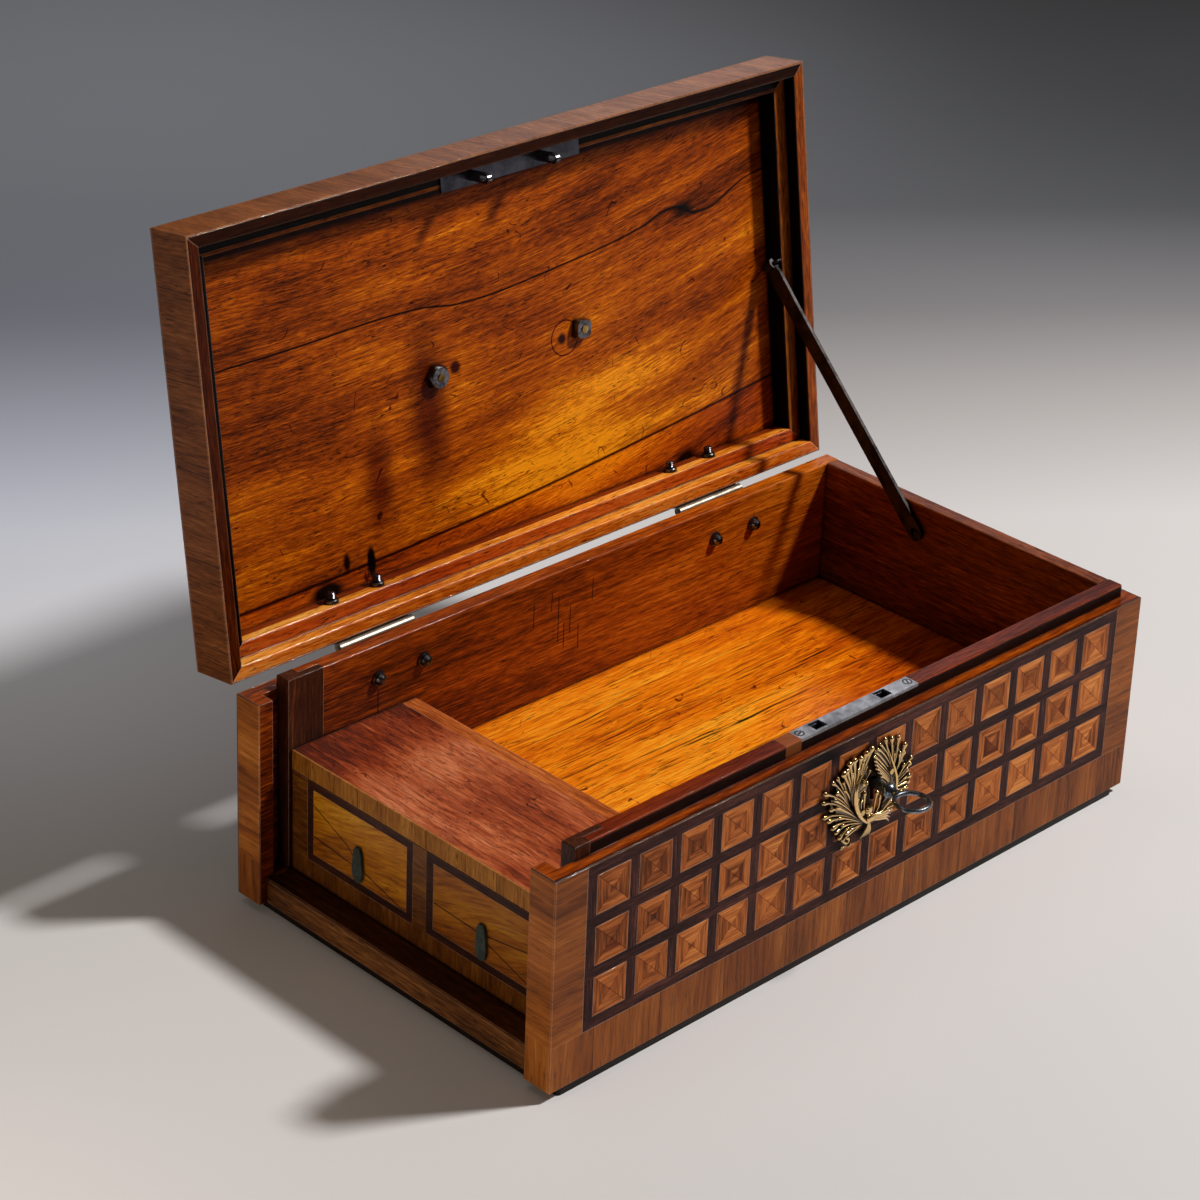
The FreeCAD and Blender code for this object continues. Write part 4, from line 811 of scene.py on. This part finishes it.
LEFT_FLUTES = (
    ((189.1, 82.6), (191.4, 87.0), (194.1, 90.5)), ((188.8, 81.7), (189.9, 88.1), (191.4, 93.9)),
    ((190.9, 78.8), (193.8, 84.0), (196.6, 87.2)), ((190.4, 76.8), (192.9, 79.0), (195.4, 81.2)),
    ((187.1, 82.4), (188.0, 86.8), (188.3, 90.9)), ((186.2, 80.6), (185.8, 85.0), (184.2, 90.3)),
    ((185.1, 74.7), (181.8, 80.2), (179.5, 83.2)), ((188.7, 66.3), (181.0, 74.1), (172.9, 80.5)),
    ((191.0, 63.3), (182.8, 70.3), (174.7, 76.1)), ((194.1, 59.9), (184.5, 66.4), (176.7, 69.5)),
    ((194.9, 59.0), (186.2, 63.6), (179.3, 64.2)), ((195.3, 58.3), (188.5, 61.1), (182.5, 58.6)))
RIGHT_LOBES = (
    ((214.1, 79.3), (208.9, 92.0), (206.3, 100.1)), ((214.3, 80.3), (211.8, 90.9), (210.9, 99.1)),
    ((214.6, 80.2), (215.4, 89.5), (216.1, 97.8)), ((215.1, 77.9), (218.7, 85.1), (221.2, 92.1)),
    ((215.4, 76.7), (218.2, 83.1), (220.8, 87.9)), ((215.8, 74.4), (220.8, 78.9), (227.0, 83.0)),
    ((216.1, 73.2), (221.1, 76.7), (225.9, 80.0)), ((216.3, 72.1), (220.6, 74.7), (224.6, 76.9)),
    ((216.2, 70.5), (221.1, 72.4), (226.4, 72.9)), ((216.0, 69.5), (220.8, 70.1), (225.9, 70.0)),
    ((215.6, 68.6), (219.9, 68.0), (225.1, 67.0)), ((214.5, 67.9), (218.6, 66.7), (222.6, 66.2)))
RIGHT_COMB = (
    ((213.1, 83.5), (208.2, 92.3), (202.6, 98.6)), ((213.0, 81.9), (206.8, 91.7), (200.8, 96.7)),
    ((213.0, 79.8), (204.9, 90.3), (199.5, 95.6)), ((213.2, 78.1), (204.4, 88.2), (199.0, 93.6)),
    ((213.6, 76.3), (204.6, 86.0), (199.5, 91.3)), ((214.2, 74.5), (205.3, 83.8), (200.2, 89.0)),
    ((214.8, 72.9), (206.5, 81.8), (201.1, 86.5)), ((215.0, 71.5), (208.1, 79.5), (202.8, 83.7)),
    ((214.7, 70.3), (209.7, 77.3), (204.4, 81.2)), ((215.1, 75.8), (216.9, 82.6), (217.6, 88.7)),
    ((214.7, 77.0), (213.5, 84.9), (213.5, 90.2)), ((215.9, 73.3), (218.8, 77.5), (221.3, 80.9)))
INNER_LOBES = (
    ((203.2, 60.0), (208.5, 62.2), (215.0, 64.0)), ((203.9, 59.2), (210.1, 60.5), (215.6, 61.6)),
    ((204.7, 58.3), (210.3, 58.8), (215.2, 59.0)), ((202.2, 59.4), (201.7, 67.6), (203.5, 73.2)),
    ((202.9, 59.1), (205.5, 64.5), (205.6, 69.8)), ((201.4, 60.2), (199.9, 64.6), (198.6, 67.2)),
    ((190.6, 67.2), (189.6, 70.8), (189.9, 74.4)), ((194.5, 63.5), (191.9, 68.8), (192.8, 72.7)),
    ((195.9, 62.9), (193.9, 69.1), (194.6, 76.3)), ((186.4, 53.8), (183.2, 51.9), (180.3, 51.5)),
    ((187.8, 54.4), (186.6, 52.2), (185.7, 50.9)))
LEFT_RIB = (
    (197.0, 59.2), (191.7, 63.5), (187.6, 71.0), (186.5, 76.2), (186.4, 80.5), (188.0, 83.1),
    (191.2, 89.2), (196.4, 98.3))
RIGHT_RIB = (
    (206.6, 60.8), (211.7, 65.3), (215.2, 69.3), (215.9, 74.4), (213.9, 81.6), (211.0, 88.0), (208.6, 94.2))
CURL = (
    (191.4, 59.4), (186.1, 57.8), (181.7, 57.1), (180.8, 55.3), (183.1, 53.1), (185.8, 53.6),
    (184.9, 55.8), (182.8, 56.1))
ROUND_BAR = dict(dimensions="3D", bevel_depth=0.001, bevel_resolution=3, resolution_u=6, use_fill_caps=True)
ROSETTE = (197.4, 66.0)             # middle of the small flower under the keyhole
PETAL = ((0.0, 3.0), (1.2, 3.3), (2.0, 2.7), (2.0, 1.4))    # reach from the middle, and height
GROUND_DEPTH = 0.7                  # middle of the leaves' thin ground, out from the front
SMOOTH_UNDER = math.radians(40)     # edges duller than this are shaded smooth


def new_curve(context, name, **settings):
    """An empty curve with its settings, and the object that holds it."""
    curve = bpy.data.curves.new(name, "CURVE")
    for key, value in settings.items():
        setattr(curve, key, value)
    thing = bpy.data.objects.new(name, curve)
    context.collection.objects.link(thing)
    return thing, curve


def to_mesh(context, thing):
    """The curve as a smoothly shaded mesh."""
    bpy.ops.object.select_all(action="DESELECT")
    thing.select_set(True)
    context.view_layer.objects.active = thing
    bpy.ops.object.convert(target="MESH")
    bpy.ops.object.transform_apply(location=True, rotation=True, scale=True)
    bpy.ops.object.shade_smooth_by_angle(angle=SMOOTH_UNDER)
    return context.object


def bar(curve, points, radii):
    """One tapering bar of a casting; points are along, up and standing out from the front, in millimetres."""
    spline = curve.splines.new("NURBS")
    spline.points.add(len(points) - 1)
    for spot, (x, z, out), radius in zip(spline.points, points, radii):
        spot.co = ((x - WIDTH / 2) / 1000, -(DEPTH / 2 + out) / 1000, (z + BASE_LIFT) / 1000, 1.0)
        spot.radius = radius
    spline.order_u, spline.use_endpoint_u = 4, True


def lobes(curve, table, height, thick):
    """Leaf lobes: each leaves its root, arches out from the front and ends in a swollen bead."""
    for k, (root, middle, tip) in enumerate(table):
        root, middle, tip = Vector(root), Vector(middle), Vector(tip)
        size = thick * (0.86 + 0.28 * ((k * 0.618) % 1.0))      # neighbours differ a little
        neck = middle.lerp(tip, 0.72)
        # place, share of the height, and share of the thickness
        way = ((root, 0.55, 0.3), (root.lerp(middle, 0.6), 1.0, 0.42), (middle.lerp(tip, 0.3), 1.1, 0.5),
               (neck, 0.95, 0.6), (tip.lerp(neck, 0.2), 0.9, 1.7), (tip, 0.55, 0.4))
        bar(curve, [(*spot, height * out) for spot, out, _ in way], [size * width for _, _, width in way])


def rib(curve, points, radius):
    """Arched rib of a leaf, thickest near its root."""
    last = len(points) - 1
    bar(curve, [(*p, 1.4 + 1.9 * math.sin(math.pi * (0.12 + 0.8 * k / last))) for k, p in enumerate(points)],
        [radius * (1.0 - 0.6 * abs(2 * k / last - 0.7)) for k in range(last + 1)])


def leaf_ground(curve, points):
    """Thin ground of a leaf between its lobes."""
    spline = curve.splines.new("POLY")
    spline.points.add(len(points) - 1)
    for spot, (x, z) in zip(spline.points, points):
        spot.co = ((x - WIDTH / 2) / 1000, (z + BASE_LIFT) / 1000, 0.0, 1.0)
    spline.use_cyclic_u = True


def inside(table, share):
    """Points at a share of the way from the roots of lobes to their tips."""
    return [Vector(root).lerp(Vector(tip), share) for root, _, tip in table]


def mount_leaves(context):
    """Both leaves: lobes, flutes over them, the inner pair of leaves, ribs and the curl at the lower left."""
    leaves, curve = new_curve(context, "mount_leaves", **ROUND_BAR)
    for table, height, thick in ((LEFT_LOBES[:7], 1.9, 1.45), (LEFT_LOBES[7:], 1.7, 1.05),
                                 (LEFT_FLUTES, 2.6, 0.7), (RIGHT_LOBES, 1.7, 1.15), (RIGHT_COMB, 2.2, 0.7),
                                 (INNER_LOBES, 2.0, 0.8)):
        lobes(curve, table, height, thick)
    rib(curve, LEFT_RIB, 1.35)
    rib(curve, RIGHT_RIB, 0.9)
    bar(curve, [(*p, 2.0) for p in CURL], [0.75] * len(CURL))
    return to_mesh(context, leaves)


def mount_ground(context):
    """Cut ground behind the lobes of each leaf."""
    ground, curve = new_curve(context, "mount_ground", dimensions="2D", fill_mode="BOTH", extrude=0.0004)
    leaf_ground(curve, inside(LEFT_LOBES, 0.72) + [Vector((197.0, 58.6)), Vector((196.4, 78.0))])
    leaf_ground(curve, inside(RIGHT_LOBES, 0.72) + [Vector((203.0, 58.6)), Vector((210.0, 66.0))]
                + inside(reversed(RIGHT_COMB[:9]), 0.8))
    ground.rotation_euler = (math.radians(90), 0, 0)
    ground.location.y = -(DEPTH / 2 + GROUND_DEPTH) / 1000
    return to_mesh(context, ground)


def mount_bow(context):
    """Ribbon: its knot, the rolled end to the right and the pleated tails."""
    bow, curve = new_curve(context, "mount_bow", **ROUND_BAR)
    for x in (197.6, 199.0, 200.4):
        bar(curve, [(x, 62.8, 0.6), (x - 0.3, 62.2, 2.4), (x - 0.2, 60.4, 3.2), (x + 0.2, 58.6, 2.3),
                    (x + 0.3, 58.0, 0.6)], (0.5, 0.8, 0.85, 0.8, 0.5))
    for s in (-1.5, -0.5, 0.5, 1.5):
        bar(curve, [(200.0, 60.2 + s * 0.4, 1.4), (204.0, 59.6 + s * 0.9, 2.6), (208.2, 59.4 + s * 1.1, 2.6),
                    (211.6, 58.0 + s * 1.5, 2.2), (215.0 + 0.5 * s, 55.6 + s * 1.9, 1.0)],
            (0.7, 0.95, 0.95, 0.7, 0.55))
        bar(curve, [(198.8, 59.4, 1.4), (198.6 + s * 0.6, 56.6, 2.4), (198.2 + s * 1.3, 53.8, 2.2),
                    (197.4 + s * 1.9, 51.2, 1.0)], (0.6, 0.8, 0.75, 0.5))
    return to_mesh(context, bow)


def mount_heart(context):
    """Small rosette of seven petals under the keyhole."""
    heart, curve = new_curve(context, "mount_heart", **ROUND_BAR)
    for k in range(7):
        turn = math.radians(-100 + 360 * k / 7)
        bar(curve, [(ROSETTE[0] + reach * math.cos(turn), ROSETTE[1] + reach * math.sin(turn), out)
                    for reach, out in PETAL], (0.7, 0.95, 1.0, 0.5))
    return to_mesh(context, heart)


class WRITINGBOX_OT_mount(bpy.types.Operator):
    """Builds the foliate keyhole mount: two acanthus leaves tied with a ribbon"""
    bl_idname = "writingbox.mount"
    bl_label = "Keyhole mount"

    def execute(self, context):
        # burnished gilding under old lacquer: bright beads, nearly black hollows
        gilt = new_material("mount_bronze_gilt", metal, base="#ecc27c", dark="#160b04", rough=0.14,
                            spread=0.14, depth=(-1.3, -3.3), bump=0.3, lacquer=1.0)
        leaves, ground = mount_leaves(context), mount_ground(context)
        bow, heart = mount_bow(context), mount_heart(context)
        for piece in (leaves, ground, bow, heart):
            piece.data.materials.clear()
            piece.data.materials.append(gilt)
            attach(piece, "case")
        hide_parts("escutcheon_leaves")
        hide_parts("escutcheon_bow")
        return {"FINISHED"}


# ---------------------------------------------------------------- stage, in metres
BOX_MIDDLE = Vector((0.0, 0.0, 0.08))
KEY_WAY = Vector((0.515, -0.385, 0.765)).normalized()      # from the box to the main lamp
CAMERA_PLACE = (-1.0319, -0.9562, 0.8638)
CAMERA_TURN = Matrix(((0.70552558, 0.25630222, -0.66071388), (-0.70733526, 0.31217566, -0.63421068),
                      (0.04370919, 0.91479808, 0.40153951)))
LENS, SENSOR = 99.76, 36.0          # in millimetres
SHIFT = (-0.0566, -0.1827)          # of the picture, as shares of its width


def lamp(context, name, place, target, size, power, tint, **seen):
    """Round soft lamp turned to its target; seen holds the kinds of ray that it is hidden from."""
    data = bpy.data.lights.new(name, "AREA")
    data.shape, data.size, data.energy, data.color = "DISK", size, power, linear(tint)[:3]
    thing = bpy.data.objects.new(name, data)
    context.collection.objects.link(thing)
    thing.location = place
    thing.rotation_mode = "QUATERNION"
    thing.rotation_quaternion = (Vector(target) - Vector(place)).to_track_quat("-Z", "Y")
    for ray, shown in seen.items():
        setattr(thing, ray, shown)


class WRITINGBOX_OT_studio(bpy.types.Operator):
    """Sets the floor, the lamps, the surround and the camera"""
    bl_idname = "writingbox.studio"
    bl_label = "Floor, lamps and camera"

    def execute(self, context):
        scene, sizes, colours = context.scene, context.scene.studio_sizes, context.scene.box_colours
        bpy.ops.object.select_all(action="DESELECT")
        bpy.ops.mesh.primitive_circle_add(vertices=96, radius=sizes.floor_radius, fill_type="NGON")
        floor = context.object
        floor.name = "studio_floor"
        floor.data.materials.append(new_material("floor_paper_matt", floor_paper, tint=list(colours.floor)))

        lamp(context, "key_lamp", BOX_MIDDLE + KEY_WAY * sizes.key_distance, BOX_MIDDLE, sizes.key_size,
             sizes.key_power, "#fffaf6")
        lamp(context, "top_fill", (-0.2, 0.5, 2.1), BOX_MIDDLE, 1.5, sizes.top_power, "#fff2e6")
        lamp(context, "drawer_fill", (-0.52, -0.02, 0.15), (-0.18, 0.0, 0.04), 0.3, sizes.fill_power,
             "#ffe9d2", visible_camera=False)
        lamp(context, "back_sheen", (1.5, 1.45, 0.95), BOX_MIDDLE, 1.1, sizes.sheen_power, "#fff4f4",
             visible_diffuse=False)

        scene.world = bpy.data.worlds.new("studio_surround")
        scene.world.use_nodes = True
        tree = scene.world.node_tree
        tree.nodes.clear()
        add(tree, "OutputWorld", add(tree, "Background", list(colours.world), sizes.ambient))

        data = bpy.data.cameras.new("camera")
        camera = bpy.data.objects.new("camera", data)
        context.collection.objects.link(camera)
        data.sensor_width, data.lens = SENSOR, LENS
        data.shift_x, data.shift_y = SHIFT
        camera.matrix_world = Matrix.Translation(CAMERA_PLACE) @ CAMERA_TURN.to_4x4()
        scene.camera = camera
        scene.view_settings.view_transform = "Standard"
        return {"FINISHED"}


class WRITINGBOX_PT_panel(bpy.types.Panel):
    """The steps of the writing box, in order"""
    bl_idname = "WRITINGBOX_PT_panel"
    bl_label = "Writing Box"
    bl_space_type = "VIEW_3D"
    bl_region_type = "UI"
    bl_category = "Writing Box"

    def draw(self, context):
        for step in STEPS:
            self.layout.operator(step.bl_idname)
        for group in (context.scene.studio_sizes, context.scene.box_colours):
            for name in group.__annotations__:
                self.layout.prop(group, name)


STEPS = (WRITINGBOX_OT_woods, WRITINGBOX_OT_metals, WRITINGBOX_OT_mount, WRITINGBOX_OT_studio)
CLASSES = (BoxColours, StudioSizes) + STEPS + (WRITINGBOX_PT_panel,)


def register():
    for kind in CLASSES:
        bpy.utils.register_class(kind)
    bpy.types.Scene.box_colours = PointerProperty(type=BoxColours)
    bpy.types.Scene.studio_sizes = PointerProperty(type=StudioSizes)


def unregister():
    del bpy.types.Scene.studio_sizes
    del bpy.types.Scene.box_colours
    for kind in reversed(CLASSES):
        bpy.utils.unregister_class(kind)


def main():
    register()
    bpy.ops.writingbox.woods()
    bpy.ops.writingbox.metals()
    bpy.ops.writingbox.mount()
    bpy.ops.writingbox.studio()


if __name__ == "__main__":
    main()
